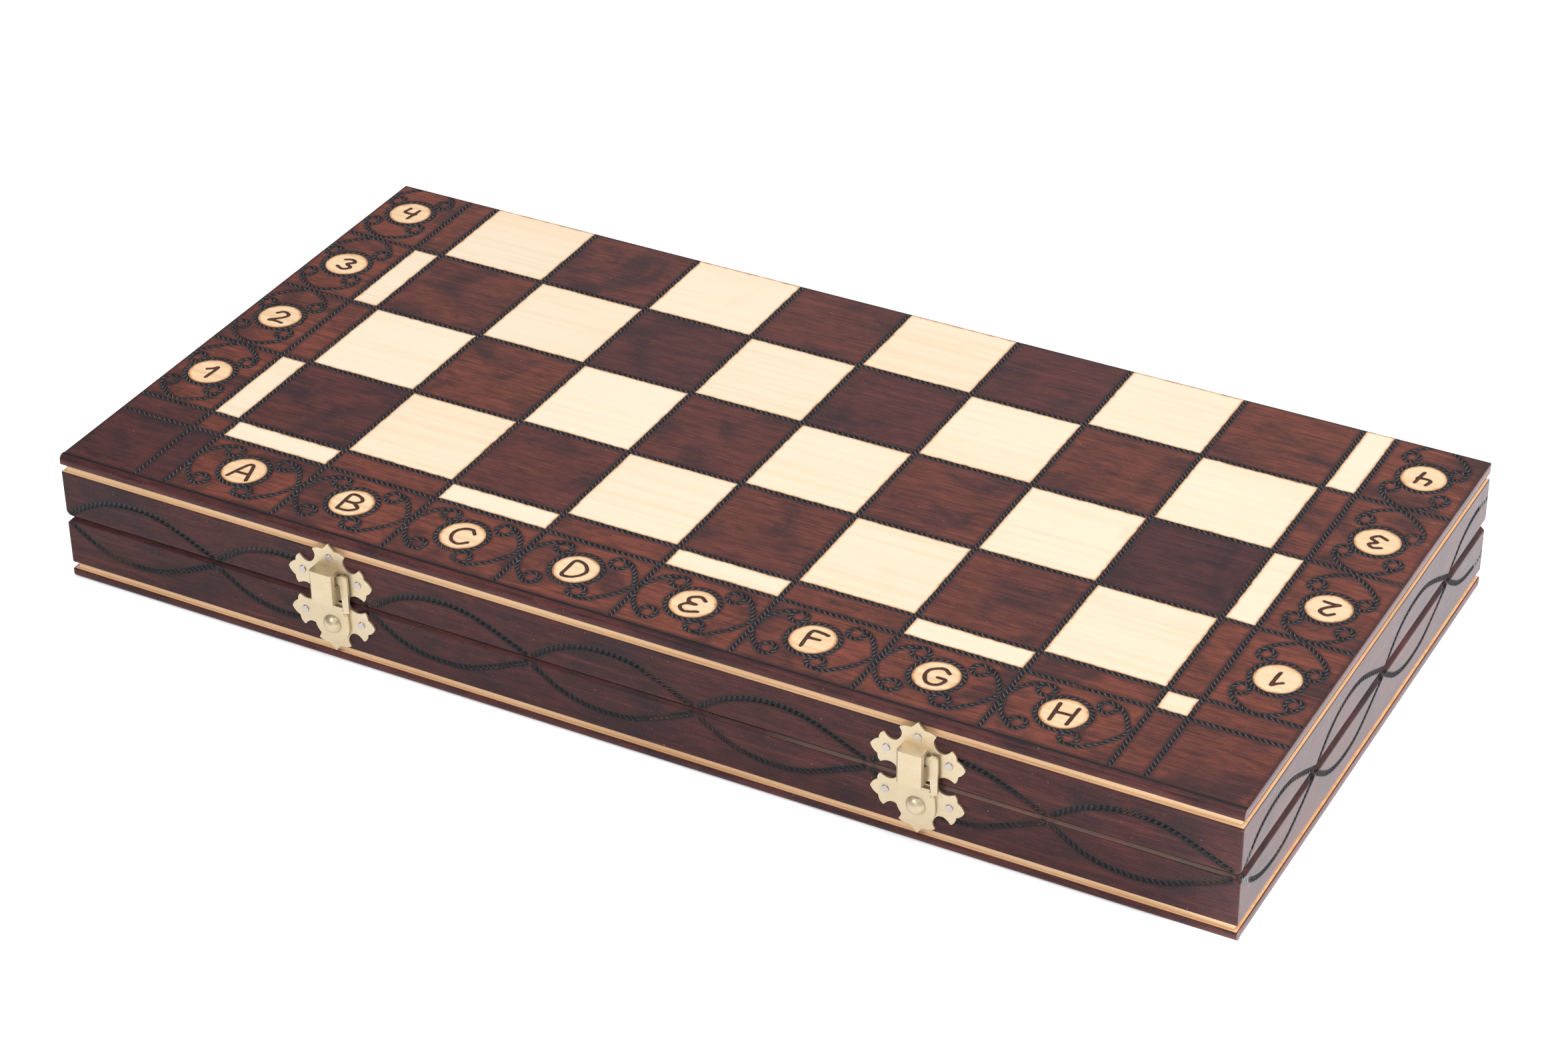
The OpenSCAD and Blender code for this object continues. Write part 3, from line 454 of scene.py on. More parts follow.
def rail_mesh(which, name, mirror_z):
    b = Build()
    hx, hy, lc, ec = LENGTH / 2, WIDTH / 2, LONG_CHAMFER, END_CHAMFER
    if which == "front":
        rail_face(b, (-hx, -hy, 0), (1, 0, 0), (0, -1, 0), 0, LENGTH, lc, (ec, ec), FRONT_WAVES)
        for side in (-1, 1):
            rail_face(b, (side * hx, -hy, 0), (0, 1, 0), (side, 0, 0), 0, WALL, ec, (lc, None), SIDE_WAVES)
        flat(b, (-hx + ec, -hy + lc, HALF), (hx - ec, -hy + lc, HALF), (-hx + ec, -hy + WALL, HALF), (0, 0, 1))
        flat(b, (-hx + WALL, -hy + WALL, 4), (hx - WALL, -hy + WALL, 4), (-hx + WALL, -hy + WALL, HALF),
             (0, 1, 0), tone=.55)
        flat(b, (-hx + 1.5, -hy + 1.5, 4), (hx - 1.5, -hy + 1.5, 4), (-hx + 1.5, -hy + WALL, 4), (0, 0, -1))
    elif which in ("left", "right"):
        s = -1 if which == "left" else 1
        rail_face(b, (s * hx, -hy, 0), (0, 1, 0), (s, 0, 0), WALL, WIDTH - WALL, ec, (None, None), SIDE_WAVES)
        y0, y1 = -hy + WALL, hy - WALL
        flat(b, (s * (hx - ec), y0, HALF), (s * (hx - WALL), y0, HALF), (s * (hx - ec), y1, HALF), (0, 0, 1))
        flat(b, (s * (hx - WALL), y0, 4), (s * (hx - WALL), y1, 4), (s * (hx - WALL), y0, HALF), (-s, 0, 0),
             tone=.55)
        flat(b, (s * (hx - 1.5), y0, 4), (s * (hx - WALL), y0, 4), (s * (hx - 1.5), y1, 4), (0, 0, -1))
    else:
        for side in (-1, 1):
            rail_face(b, (side * hx, -hy, 0), (0, 1, 0), (side, 0, 0), WIDTH - WALL, WIDTH, ec, (None, lc),
                      SIDE_WAVES)
        cuts = [-hx, -170.3, -129.7, 129.7, 170.3, hx]
        for k, (x0, x1) in enumerate(zip(cuts[:-1], cuts[1:])):
            hinged = k in (1, 3)
            rail_face(b, (0, hy, 0), (1, 0, 0), (0, 1, 0), x0, x1, lc,
                      (ec if k == 0 else None, ec if k == 4 else None), [], 6, HINGE_ROWS if hinged else None)
            r0, r1 = (x0 + ec if k == 0 else x0), (x1 - ec if k == 4 else x1)
            flat(b, (r0, hy - (8.5 if hinged else lc), HALF), (r1, hy - (8.5 if hinged else lc), HALF),
                 (r0, hy - WALL, HALF), (0, 0, 1))
        # the ends of the hinge pockets
        for x in cuts[1:-1]:
            low = [(0, 24.6), (.9, 24.8), (2.0, 25.5), (2.6, 26.4), (8.5, 26.4)]
            top = [(0, 24.6), (0, 26.2), (.6, 26.8), (1.2, 27.4), (8.5, 27.4)]
            b.grid(np.array([[(x, hy - d, z) for d, z in line] for line in (low, top)]),
                   (1 if x in (cuts[1], cuts[3]) else -1, 0, 0))
        flat(b, (-hx + WALL, hy - WALL, 4), (hx - WALL, hy - WALL, 4), (-hx + WALL, hy - WALL, HALF),
             (0, -1, 0), tone=.55)
        flat(b, (-hx + 1.5, hy - 1.5, 4), (hx - 1.5, hy - 1.5, 4), (-hx + 1.5, hy - WALL, 4), (0, 0, -1))
    return b.mesh(name, mirror_z, merge=True)


# ---------------------------------------------------------------- chess pieces and felt

KING_H, QUEEN_H, BISHOP_H, KNIGHT_H, ROOK_H, PAWN_H = 90.0, 81.0, 70.2, 63.0, 54.0, 47.7
KING_D, QUEEN_D, MINOR_D, PAWN_D = 32.0, 30.08, 28.0, 24.0
BASE_Y, FLOOR_Z, PITCH = 108.0, 5.0, 57.75
SEGMENTS = 80


def arc(x, y, r, a0, a1, n=8):
    a = np.radians(np.linspace(a0, a1, n + 1))
    return [(x + r * math.cos(v), y + r * math.sin(v)) for v in a]


def bend(a, b, c, n=12):
    a, b, c = (np.asarray(q, float) for q in (a, b, c))
    t = np.linspace(0, 1, n + 1)[:, None]
    return [tuple(q) for q in (1 - t) ** 2 * a + 2 * t * (1 - t) * b + t * t * c]


def lathe(profile, wave=None):
    """Points of a turned form from its profile of (radius, height); wave changes it round the axis."""
    q = np.array(profile, float)
    a = np.linspace(0, 2 * math.pi, SEGMENTS + 1)
    r, z = np.broadcast_arrays(q[:, :1], q[:, 1:])
    r, z = np.repeat(r, len(a), 1), np.repeat(z, len(a), 1)
    if wave:
        r, z = wave(r, z, a[None])
    return np.stack([r * np.cos(a), r * np.sin(a), z], -1)


def foot(d, stem_r, stem_z):
    r, step, top = d / 2, d * .13, d * .26
    h = (top - step) / 2
    return [lathe([(0, 0), (r - .7, 0), (r - .2, .15), (r, .6), (r, step - 1.2), (r - .25, step - .4),
                   (r - .9, step), (r * .8, step)]),
            lathe(arc(r * .78, step + h, h, -90, 90, 10)),
            lathe([(r * .78, top), (r * .66, top)]
                  + bend((r * .66, top), (stem_r, top + d * .12), (stem_r, stem_z), 16)),
            lathe(arc(r * .6, top + .5, .6, -70, 90, 6) + [(r * .5, top + 1.1)])]


def collar(z, r, h):
    return lathe([(.1, z), (r - h / 2, z)] + arc(r - h / 2, z + h / 2, h / 2, -90, 90, 10) + [(.1, z + h)])


def ball(z, r):
    return lathe(arc(0, z, r, -90, 90, 16))


def pawn():
    top = PAWN_H - PAWN_D * .5
    return foot(PAWN_D, PAWN_D * .19, top) + [
        collar(top - 3, PAWN_D * .3, 2.6), collar(top - .5, PAWN_D * .22, 1.2),
        ball(PAWN_H - PAWN_D * .27, PAWN_D * .27)]


def rook():
    d, head = MINOR_D, ROOK_H * .68
    steps = lambda a: (np.abs((a * 6 / (2 * math.pi) + .5) % 1 - .5) * 2 * math.pi / 6 * d * .3 < 1.3)

    def crown(r, z, a):
        return r, np.where((z > ROOK_H - 3) & steps(a), ROOK_H - 3.2, z)

    profile = [(d * .2, head), (d * .27, head), (d * .275, head + .6), (d * .28, head + 1.4),
               (d * .3, ROOK_H - 5.2), (d * .325, ROOK_H - 4.8), (d * .33, ROOK_H - 4.2),
               (d * .33, ROOK_H - .35), (d * .318, ROOK_H), (d * .225, ROOK_H), (d * .21, ROOK_H - .3),
               (d * .21, ROOK_H - 4), (0, ROOK_H - 3.7)]
    return foot(d, d * .25, head) + [collar(head - 1, d * .34, 2.6), lathe(profile, crown)]


def bishop():
    d, head = MINOR_D, BISHOP_H * .62
    hh = BISHOP_H - head - 4

    def slit(r, z, a):
        x, y = r * np.cos(a), r * np.sin(a)
        across = (x - 2.6) * math.cos(math.radians(30)) - (z - head - hh * .5) * .5
        cut = (np.abs(across) < .75) & (z > head + hh * .42) & (z < head + hh * .93)
        return np.where(cut, r * .62, r), z

    mitre = (bend((d * .16, head), (d * .36, head + hh * .4), (d * .16, head + hh * .8), 40)
             + bend((d * .16, head + hh * .8), (d * .1, head + hh), (.05, head + hh), 12)[1:])
    return foot(d, d * .2, head) + [collar(head - 2.5, d * .33, 2.6), collar(head, d * .25, 1.8),
                                    lathe(mitre, slit), ball(BISHOP_H - 2.6, 2.6)]


def queen():
    d, head, rim = QUEEN_D, QUEEN_H * .72, QUEEN_H - 6

    def scallop(r, z, a):
        dip = 1.5 * (.5 + .5 * np.cos(8 * a)) ** 1.6
        return r, z - dip * smooth(z, rim - 2.2, rim)

    bowl = (bend((d * .17, head - 2), (d * .18, rim - 8), (d * .32, rim), 24)
            + [(d * .31, rim + .02), (d * .27, rim + .02), (d * .24, rim - .3), (d * .2, rim - 2),
               (.1, rim - 2)])
    return foot(d, d * .19, head) + [
        collar(head - 7, d * .32, 2.8), collar(head - 3.2, d * .25, 1.8), lathe(bowl, scallop),
        lathe(bend((d * .2, rim - 2), (d * .16, rim + 1.6), (1.5, rim + 2), 10)), ball(QUEEN_H - 3, 3)]


def king():
    d, head, rim = KING_D, KING_H * .68, KING_H - 14
    bowl = (bend((d * .17, head - 2), (d * .19, rim - 6), (d * .3, rim - 1), 20)
            + arc(d * .3 - .5, rim - .5, .5, -40, 90, 4)[1:]
            + bend((d * .28, rim), (d * .2, rim + 3.5), (.1, rim + 4), 14))
    shape = [(-1.2, rim + 3), (1.2, rim + 3), (1.0, KING_H - 7.2), (4.4, KING_H - 7.4), (4.4, KING_H - 3.6),
             (1.0, KING_H - 3.8), (1.9, KING_H), (-1.9, KING_H), (-1.0, KING_H - 3.8), (-4.4, KING_H - 3.6),
             (-4.4, KING_H - 7.4), (-1.0, KING_H - 7.2), (-1.2, rim + 3)]
    q = np.array(shape)
    mid = np.array([0, KING_H - 5.5])
    rings = []
    for y, f in ((-1.3, 0), (-1.3, .86), (-1.0, 1), (1.0, 1), (1.3, .86), (1.3, 0)):
        ring = mid + (q - mid) * f
        rings.append(np.stack([ring[:, 0], np.full(len(q), y), ring[:, 1]], -1))
    return foot(d, d * .19, head) + [
        collar(head - 7, d * .33, 2.8), collar(head - 3.2, d * .26, 1.8), lathe(bowl),
        lathe(arc(0, rim + 3.6, 2.1, -30, 80, 8)), np.stack(rings)[::-1]]


def loft(path):
    """A bent tube of ellipses: each is x, z, tilt in degrees, half width along the tilt, half thickness."""
    a = np.linspace(0, 2 * math.pi, 25)
    q = np.array(path, float)
    fine = np.stack([np.interp(np.linspace(0, len(q) - 1, 6 * len(q)), np.arange(len(q)), q[:, k])
                     for k in range(q.shape[1])], 1)
    rings = []
    for x, z, tilt, w, t in fine:
        t0 = math.radians(tilt)
        rings.append(np.stack([x + w * np.cos(a) * math.cos(t0), t * np.sin(a),
                               z + w * np.cos(a) * math.sin(t0)], -1))
    caps = [np.repeat(r.mean(0)[None], 25, 0) for r in (rings[0], rings[-1])]
    return np.stack([caps[0]] + rings + [caps[1]])


def horse():
    """The knight's head and neck, carved: lofted parts made one by a voxel remesh, then smoothed."""
    neck_z = KNIGHT_H * .42
    k = (KNIGHT_H - neck_z) / 33.5
    neck = [(-.5, -.6, 0, 8.4, 5.6), (-1, 3, 4, 7.8, 5.3), (-2.2, 8, 8, 6.9, 4.8), (-3.0, 13, 4, 6.6, 4.4),
            (-2.6, 18, -8, 6.8, 4.2), (-1.2, 22.5, -24, 6.3, 3.9), (1.2, 25.6, -45, 4.6, 3.2),
            (2.0, 27.0, -50, 3.2, 2.4)]
    head = [(-1.0, 23.4, 62, 4.6, 3.4), (1.8, 21.9, 60, 4.9, 4.1), (4.6, 20.0, 58, 4.5, 4.0),
            (7.2, 17.9, 55, 3.5, 3.3), (9.3, 16.3, 52, 2.8, 2.8), (10.8, 15.4, 50, 2.6, 2.9),
            (11.8, 15.0, 50, 1.6, 2.0)]
    ear = [(.6, 27.0, 0, 1.5, 1.1), (1.2, 30.4, 0, 1.1, .8), (1.5, 33.2, 0, .3, .3)]
    mane = [(-8.2, 2, 0, 1.6, 1.9), (-9.0, 8, 0, 1.5, 1.8), (-9.2, 14, 0, 1.5, 1.8), (-8.4, 20, -15, 1.6, 1.8),
            (-5.4, 25.4, -35, 1.7, 1.7), (-1.6, 28.8, -55, 1.4, 1.4), (.8, 29.6, -70, 1.0, 1.2)]
    parts = [loft(neck), loft(head), loft(mane), loft(ear) + [0, -1.6, 0], loft(ear) + [0, 1.6, 0]]
    for y in (-3.7, 3.7):
        parts.append(lathe(arc(0, 0, .95, -90, 90, 8))[:, :, [0, 2, 1]] + [3.4, y, 22.6])
        parts.append(lathe(arc(0, 0, .6, -90, 90, 8))[:, :, [0, 2, 1]] + [10.6, y * .68, 16.2])
    b = Build()
    for g in parts:
        b.grid(g)
    me = b.mesh("horse_parts")
    ob = bpy.data.objects.new("horse_parts", me)
    bpy.context.collection.objects.link(ob)
    solid = ob.modifiers.new("one", "REMESH")
    solid.mode, solid.voxel_size = "VOXEL", .42 * MM
    relax = ob.modifiers.new("soft", "SMOOTH")
    relax.factor, relax.iterations = .5, 5
    done = bpy.data.meshes.new_from_object(ob.evaluated_get(bpy.context.evaluated_depsgraph_get()))
    bpy.data.objects.remove(ob)
    co = np.empty(3 * len(done.vertices), np.float32)
    done.vertices.foreach_get("co", co)
    co = co.reshape(-1, 3).astype(float) / MM
    # carved lines: locks of the mane, the jaw and the mouth
    x, y, z = co[:, 0], co[:, 1], co[:, 2]
    back = smooth(-x + .06 * (z - 14) ** 2 * .35, 4.4, 7.4) * smooth(z, 1.5, 4)
    locks = .32 * back * np.maximum(0, np.cos(z * 1.9 + x * 1.1)) ** 2
    jaw = .45 * smooth(np.abs(np.hypot(x - 2.2, z - 20.6) - 4.6), .7, .1)
    jaw = jaw * smooth(z, 24, 20) * smooth(x, -4, -1)
    mouth = .5 * smooth(np.abs((z - 14.9) - .35 * (x - 8.0)), .55, .1) * smooth(x, 7.4, 8.6)
    y = y * (1 - (locks + jaw + mouth) / np.maximum(np.abs(y), 1.5))
    co = np.stack([x, y, z], 1) * k
    co[:, 2] += neck_z
    loops = np.empty(len(done.loops), np.int32)
    done.loops.foreach_get("vertex_index", loops)
    faces = loops.reshape(-1, 4)
    bpy.data.meshes.remove(done)
    return co, faces


HORSE = horse()


def knight():
    neck = KNIGHT_H * .42
    return foot(MINOR_D, MINOR_D * .3, neck) + [collar(neck - 2, MINOR_D * .38, 2.8)]


def column_x(i):
    return (i - 3.5) * PITCH - PITCH / 4


def laid(p, i, d, is_pawn, black):
    """Points of a standing piece, laid in column i of its rack."""
    x, y, z = p[..., 0], p[..., 1], p[..., 2]
    if is_pawn:
        q = [column_x(i) + x, BASE_Y - z, FLOOR_Z + d / 2 + y]
    else:
        q = [column_x(i) + x, z - BASE_Y, FLOOR_Z + d / 2 - y]
    q = np.stack(q, -1)
    return q * [-1, -1, -1] + [0, 0, HEIGHT] if black else q


OFFICERS = [("queens_rook", rook, MINOR_D), ("queens_knight", knight, MINOR_D),
            ("queens_bishop", bishop, MINOR_D), ("queen", queen, QUEEN_D), ("king", king, KING_D),
            ("kings_bishop", bishop, MINOR_D), ("kings_knight", knight, MINOR_D), ("kings_rook", rook, MINOR_D)]


def officer_mesh(name, make, d, i, black):
    b = Build()
    tone = rng.random()
    for g in make():
        b.grid(laid(g, i, d, False, black), flip=not black, tone=tone)
    if make is knight:
        co, faces = HORSE
        b.points.append(laid(co, i, d, False, black))
        b.quads.append((faces[:, ::-1] if black else faces) + b.count)
        b.count += len(co)
        for n in b.NAMES:
            b.values[n].append(np.full(len(co), tone if n == "tone" else b.PLAIN[n]))
    return b.mesh(name, merge=True)


def pawns_mesh(name, black):
    b = Build()
    for i in range(8):
        tone = rng.random()
        for g in pawn():
            b.grid(laid(g, i, PAWN_D, True, black), flip=not black, tone=tone)
    return b.mesh(name, merge=True)


def pads_mesh(name, black):
    """Felt discs under the bases, their cut edges a little fuzzy."""
    b = Build()
    noise = np.random.default_rng(5)
    for i in range(8):
        for is_pawn in (False, True):
            d = PAWN_D if is_pawn else OFFICERS[i][2]
            r = d / 2 - 1.3
            g = lathe([(.05, 0), (r * .5, 0), (r, -.02), (r + .08, -.2), (r, -.42), (r - .3, -.5),
                       (r * .5, -.46), (.05, -.46)])
            g = g + noise.normal(0, .02, g.shape) * [1, 1, .5]
            g[:, -1] = g[:, 0]
            b.grid(laid(g, i, d, is_pawn, black), flip=black)
    return b.mesh(name, merge=True)


def lining_mesh(name, mirror_z):
    """A felt sheet glued to the inside of a panel, soft at its cut edges."""
    b = Build()
    x = np.linspace(-231 + .15, 231 - .15, 309)
    y = np.linspace(-111.5 + .15, 111.5 - .15, 150)
    xx, yy = np.meshgrid(x, y, indexing="ij")
    noise = np.random.default_rng(3)
    rim = np.minimum(np.minimum(xx - x[0], x[-1] - xx), np.minimum(yy - y[0], y[-1] - yy))
    zz = (FLOOR_Z - .05 - .35 * np.exp(-rim / 1.2) - .06 * noise.random(xx.shape)
          - .05 * (1 + np.sin(xx / 31) * np.sin(yy / 23)))
    b.grid(np.stack([xx, yy, zz], -1), (0, 0, 1))
    return b.mesh(name, mirror_z)


# ---------------------------------------------------------------- materials

class Mat:
    def __init__(self, name):
        self.m = bpy.data.materials.new(name)
        self.m.use_nodes = True
        self.t = self.m.node_tree
        self.b = self.t.nodes["Principled BSDF"]

    def put(self, socket, value):
        if isinstance(value, bpy.types.NodeSocket):
            self.t.links.new(value, socket)
        elif isinstance(value, (tuple, list)) and len(socket.default_value) == 4 and len(value) == 3:
            socket.default_value = (*value, 1)
        else:
            socket.default_value = value

    def node(self, kind, props=None, **inputs):
        n = self.t.nodes.new(kind)
        for k, v in (props or {}).items():
            setattr(n, k, v)
        for k, v in inputs.items():
            self.put(n.inputs[k.replace("_", " ")], v)
        return n

    def set(self, **inputs):
        for k, v in inputs.items():
            self.put(self.b.inputs[k.replace("_", " ")], v)

    def math(self, op, a, b=0.0, c=0.0):
        n = self.t.nodes.new("ShaderNodeMath")
        n.operation = op
        for s, v in zip(n.inputs, (a, b, c)):
            self.put(s, v)
        return n.outputs[0]

    def smooth(self, v, lo, hi, a=0.0, b=1.0):
        n = self.node("ShaderNodeMapRange", {"interpolation_type": "SMOOTHSTEP"}, Value=v, From_Min=lo,
                      From_Max=hi, To_Min=a, To_Max=b)
        return n.outputs[0]

    def mix(self, f, a, b, how="MIX"):
        n = self.t.nodes.new("ShaderNodeMix")
        n.data_type, n.blend_type = "RGBA", how
        self.put(n.inputs[0], f)
        self.put(n.inputs[6], a)
        self.put(n.inputs[7], b)
        return n.outputs[2]

    def coords(self, scale=(1, 1, 1), turn=(0, 0, 0)):
        v = self.t.nodes.new("ShaderNodeTexCoord").outputs["Object"]
        n = self.node("ShaderNodeMapping", None, Vector=v, Scale=scale, Rotation=turn)
        return n.outputs[0]

    def shifted(self, vec, amount):
        n = self.t.nodes.new("ShaderNodeVectorMath")
        n.operation = "ADD"
        self.put(n.inputs[0], vec)
        self.put(n.inputs[1], amount)
        return n.outputs[0]

    def noise(self, vec, scale=1.0, detail=3.0, rough=.5, warp=0.0):
        n = self.node("ShaderNodeTexNoise", None, Vector=vec, Scale=scale, Detail=detail, Roughness=rough,
                      Distortion=warp)
        return n.outputs["Fac"]

    def value(self, name):
        return self.node("ShaderNodeAttribute", {"attribute_name": name}).outputs["Fac"]

    def bump(self, height, distance, strength=1.0, normal=None):
        n = self.node("ShaderNodeBump", None, Height=height, Distance=distance, Strength=strength)
        if normal is not None:
            self.put(n.inputs["Normal"], normal)
        return n.outputs[0]


def stained_wood(name, along, stains, strands, embers, matt):
    """Lacquered wood: bare or stained by the mesh's values, with its burnt lines.

    stains are its dark and bright stained colours, strands the gap colour of the twisted marks and two colours
    of the highlight painted on their crests, embers is how much brown shows between the strands and matt how
    rough they are.
    """
    m = Mat(name)
    stain = m.smooth(m.value("stain"), .36, .64)
    burn = m.value("burn")
    tone = m.value("tone")
    edge, rope_s, rope_t = m.value("edge"), m.value("rope_s"), m.value("rope_t")

    def scaled(fine, long):
        s = [fine] * 3
        s[along] = long
        return m.shifted(m.coords(tuple(s)), offset)

    offset = m.node("ShaderNodeCombineXYZ", None, X=m.math("MULTIPLY", tone, 37.0),
                    Y=m.math("MULTIPLY", tone, 71.0), Z=0.0).outputs[0]
    streak = m.noise(scaled(330, 9), 1, 5, .62)
    fibre = m.noise(scaled(2300, 70), 1, 3, .6)
    figure = m.noise(scaled(46, 7), 1, 3, .5, .6)
    mottle = m.noise(scaled(310, 90), 1, 6, .72, .7)
    blotch = m.noise(m.shifted(m.coords((34, 34, 34)), offset), 1, 4, .6, .5)
    speck = m.noise(m.coords((760, 760, 760)), 1, 2, .5)
    grit = m.noise(m.coords((1500, 1500, 1500)), 1, 4, .7)
    wander = m.noise(m.coords((300, 300, 300)), 1, 3, .6)
    loose = m.math("SUBTRACT", wander, .5)

    light = m.mix(tone, (.77, .655, .5), (.77, .53, .315))
    light = m.mix(m.smooth(streak, .45, .78, 0, .3), light, (.74, .53, .32))
    light = m.mix(m.smooth(figure, .45, .8, 0, .3), light, (.78, .54, .33))
    light = m.mix(m.smooth(fibre, .55, .85, 0, .2), light, (.6, .38, .2))
    light = m.mix(m.smooth(blotch, .6, .8, 0, .25), light, (.74, .47, .27))
    light = m.mix(m.math("MULTIPLY", tone, m.smooth(streak, .42, .66, 0, .6)), light, (.58, .33, .16))

    dark = m.mix(tone, stains[0], stains[1])
    dark = m.mix(m.smooth(mottle, .3, .68), m.mix(.8, dark, (.42, .4, .46), "MULTIPLY"), dark)
    dark = m.mix(m.smooth(blotch, .44, .68, 0, .75), dark, (.018, .01, .0145))
    dark = m.mix(m.smooth(streak, .48, .78, 0, .55), dark, m.mix(tone, (.1, .03, .028), (.24, .064, .04)))
    dark = m.mix(m.smooth(fibre, .42, .68, 0, .62), dark, (.012, .006, .007))
    dark = m.mix(m.smooth(grit, .5, .8, 0, .3), dark, (.16, .065, .055))
    dark = m.mix(m.smooth(speck, .735, .785, 0, .42), dark, (.3, .26, .27))
    colour = m.mix(stain, light, dark)

    # heat has browned the pale wood beside its burnt lines and blackened the stained wood
    near = m.math("MULTIPLY_ADD", loose, -1.5, edge)
    beside = m.math("MULTIPLY_ADD", loose, 1.8, rope_t)
    halo = m.math("MAXIMUM", m.smooth(near, 1.9, .1), m.smooth(beside, 2.5, 1.0))
    colour = m.mix(m.math("MULTIPLY", halo, m.math("MULTIPLY", stain, .62)), colour, (.02, .0105, .011))
    pale = m.math("SUBTRACT", 1.0, stain)
    colour = m.mix(m.math("MULTIPLY", pale, m.smooth(near, 1.3, .1, 0, .8)), colour, (.54, .24, .08))
    colour = m.mix(m.math("MULTIPLY", pale, m.smooth(near, .42, 0, 0, .9)), colour, (.16, .06, .025))

    # twisted marks: a heated wire rope pressed into the wood leaves slanted strands in a black groove
    lobe = m.math("COSINE", m.math("MULTIPLY_ADD", loose, 1.6, m.math("MULTIPLY", rope_s, 2 * math.pi / 2.35)))
    body = m.math("SUBTRACT", 1.0, m.math("MULTIPLY", rope_t, rope_t))
    shape = m.math("MULTIPLY_ADD", lobe, .34, m.math("MULTIPLY_ADD", loose, .8, body))
    inside = m.smooth(rope_t, 1.22, 1.0)
    groove = m.math("MULTIPLY", m.smooth(shape, -.1, .2), inside)
    ember = m.smooth(m.noise(m.coords((45, 45, 45)), 1, 2), .62 - .3 * embers, .78 - .3 * embers)
    gap = m.mix(m.math("MULTIPLY", ember, m.smooth(lobe, -.2, -.85)), strands[0], (.1, .033, .017))
    colour = m.mix(groove, colour, gap)
    # painted highlight: the crests of the strands are coloured light grey where the lamps would glint on them
    crest_highlight = m.math("MULTIPLY", m.smooth(lobe, .2, .95), m.smooth(body, .1, .6))
    crest_highlight = m.math("MULTIPLY", crest_highlight, m.smooth(wander, .25, .55, .45, 1))
    colour = m.mix(m.math("MULTIPLY", crest_highlight, inside), colour, m.mix(wander, strands[1], strands[2]))
    char = m.mix(fibre, (.022, .01, .008), (.05, .02, .013))
    char = m.mix(m.smooth(burn, .8, .95, 0, .7), char, (.12, .05, .03))
    colour = m.mix(m.smooth(burn, .4, .6, 0, .3), colour, (.5, .24, .09))
    colour = m.mix(m.smooth(m.math("MULTIPLY_ADD", loose, .2, burn), .58, .68), colour, char)

    fine = m.math("MULTIPLY_ADD", fibre, .5, m.math("MULTIPLY_ADD", mottle, .5, m.math("MULTIPLY", streak, .6)))
    wave = m.noise(m.coords((60, 60, 60)), 1, 1, .4)
    normal = m.bump(fine, .00008, .6)
    normal = m.bump(wave, .0006, .25, normal)
    raised = m.math("MULTIPLY", m.math("MULTIPLY", lobe, m.smooth(body, 0, .5)), inside)
    normal = m.bump(raised, .00024, .8, normal)
    rough = m.math("MULTIPLY_ADD", mottle, .14, m.smooth(burn, .3, .7, .38, .56))
    rough = m.math("MULTIPLY_ADD", m.math("MULTIPLY", groove, inside), matt, rough)
    m.set(Base_Color=colour, Normal=normal, Roughness=rough, IOR=1.27)
    return m.m


def turned_wood(name, pale, dark, deep, along=1, gloss=.3):
    """Lacquered turned wood with rings and pores; tone shifts each piece."""
    m = Mat(name)
    tone = m.value("tone")
    s = [240.0] * 3
    s[along] = 16.0
    offset = m.node("ShaderNodeCombineXYZ", None, X=m.math("MULTIPLY", tone, 91.0),
                    Y=m.math("MULTIPLY", tone, 53.0), Z=m.math("MULTIPLY", tone, 17.0)).outputs[0]
    grain = m.noise(m.shifted(m.coords(tuple(s)), offset), 1, 5, .62, .4)
    s2 = [1500.0] * 3
    s2[along] = 90.0
    pores = m.noise(m.shifted(m.coords(tuple(s2)), offset), 1, 2, .6)
    cloud = m.noise(m.shifted(m.coords((55, 55, 55)), offset), 1, 2, .5)
    colour = m.mix(m.smooth(grain, .35, .72), pale, dark)
    colour = m.mix(m.smooth(cloud, .4, .7, 0, .4), colour, dark)
    colour = m.mix(m.smooth(pores, .56, .74, 0, .55), colour, deep)
    normal = m.bump(pores, .00005, .6)
    m.set(Base_Color=colour, Normal=normal, Roughness=m.smooth(grain, .3, .8, gloss, gloss + .12))
    m.set(Coat_Weight=.4, Coat_Roughness=.16)
    return m.m


def metal(name, base, tint, dull, rough, scratch=1.0, metallic=1.0):
    """Thin sheet metal: rolled streaks, handling marks and a warmer tarnish in patches."""
    m = Mat(name)
    patch = m.noise(m.coords((130, 130, 130)), 1, 4, .6)
    small = m.noise(m.coords((900, 900, 900)), 1, 3, .6)
    lines = m.noise(m.coords((500, 500, 9000), (0, .4, 0)), 1, 2, .6)
    colour = m.mix(m.smooth(patch, .38, .7), base, tint)
    colour = m.mix(m.smooth(small, .55, .78, 0, .35), colour, dull)
    colour = m.mix(m.smooth(lines, .6, .75, 0, .22 * scratch), colour, dull)
    r = m.math("ADD", m.smooth(patch, .3, .75, rough, rough + .14), m.smooth(lines, .5, .8, 0, .12))
    normal = m.bump(m.math("ADD", m.math("MULTIPLY", patch, 1.6), m.math("MULTIPLY", small, .25)), .00012, .5)
    normal = m.bump(lines, .00002, .5 * scratch, normal)
    m.set(Base_Color=colour, Metallic=metallic, Roughness=r, Normal=normal)
    return m.m


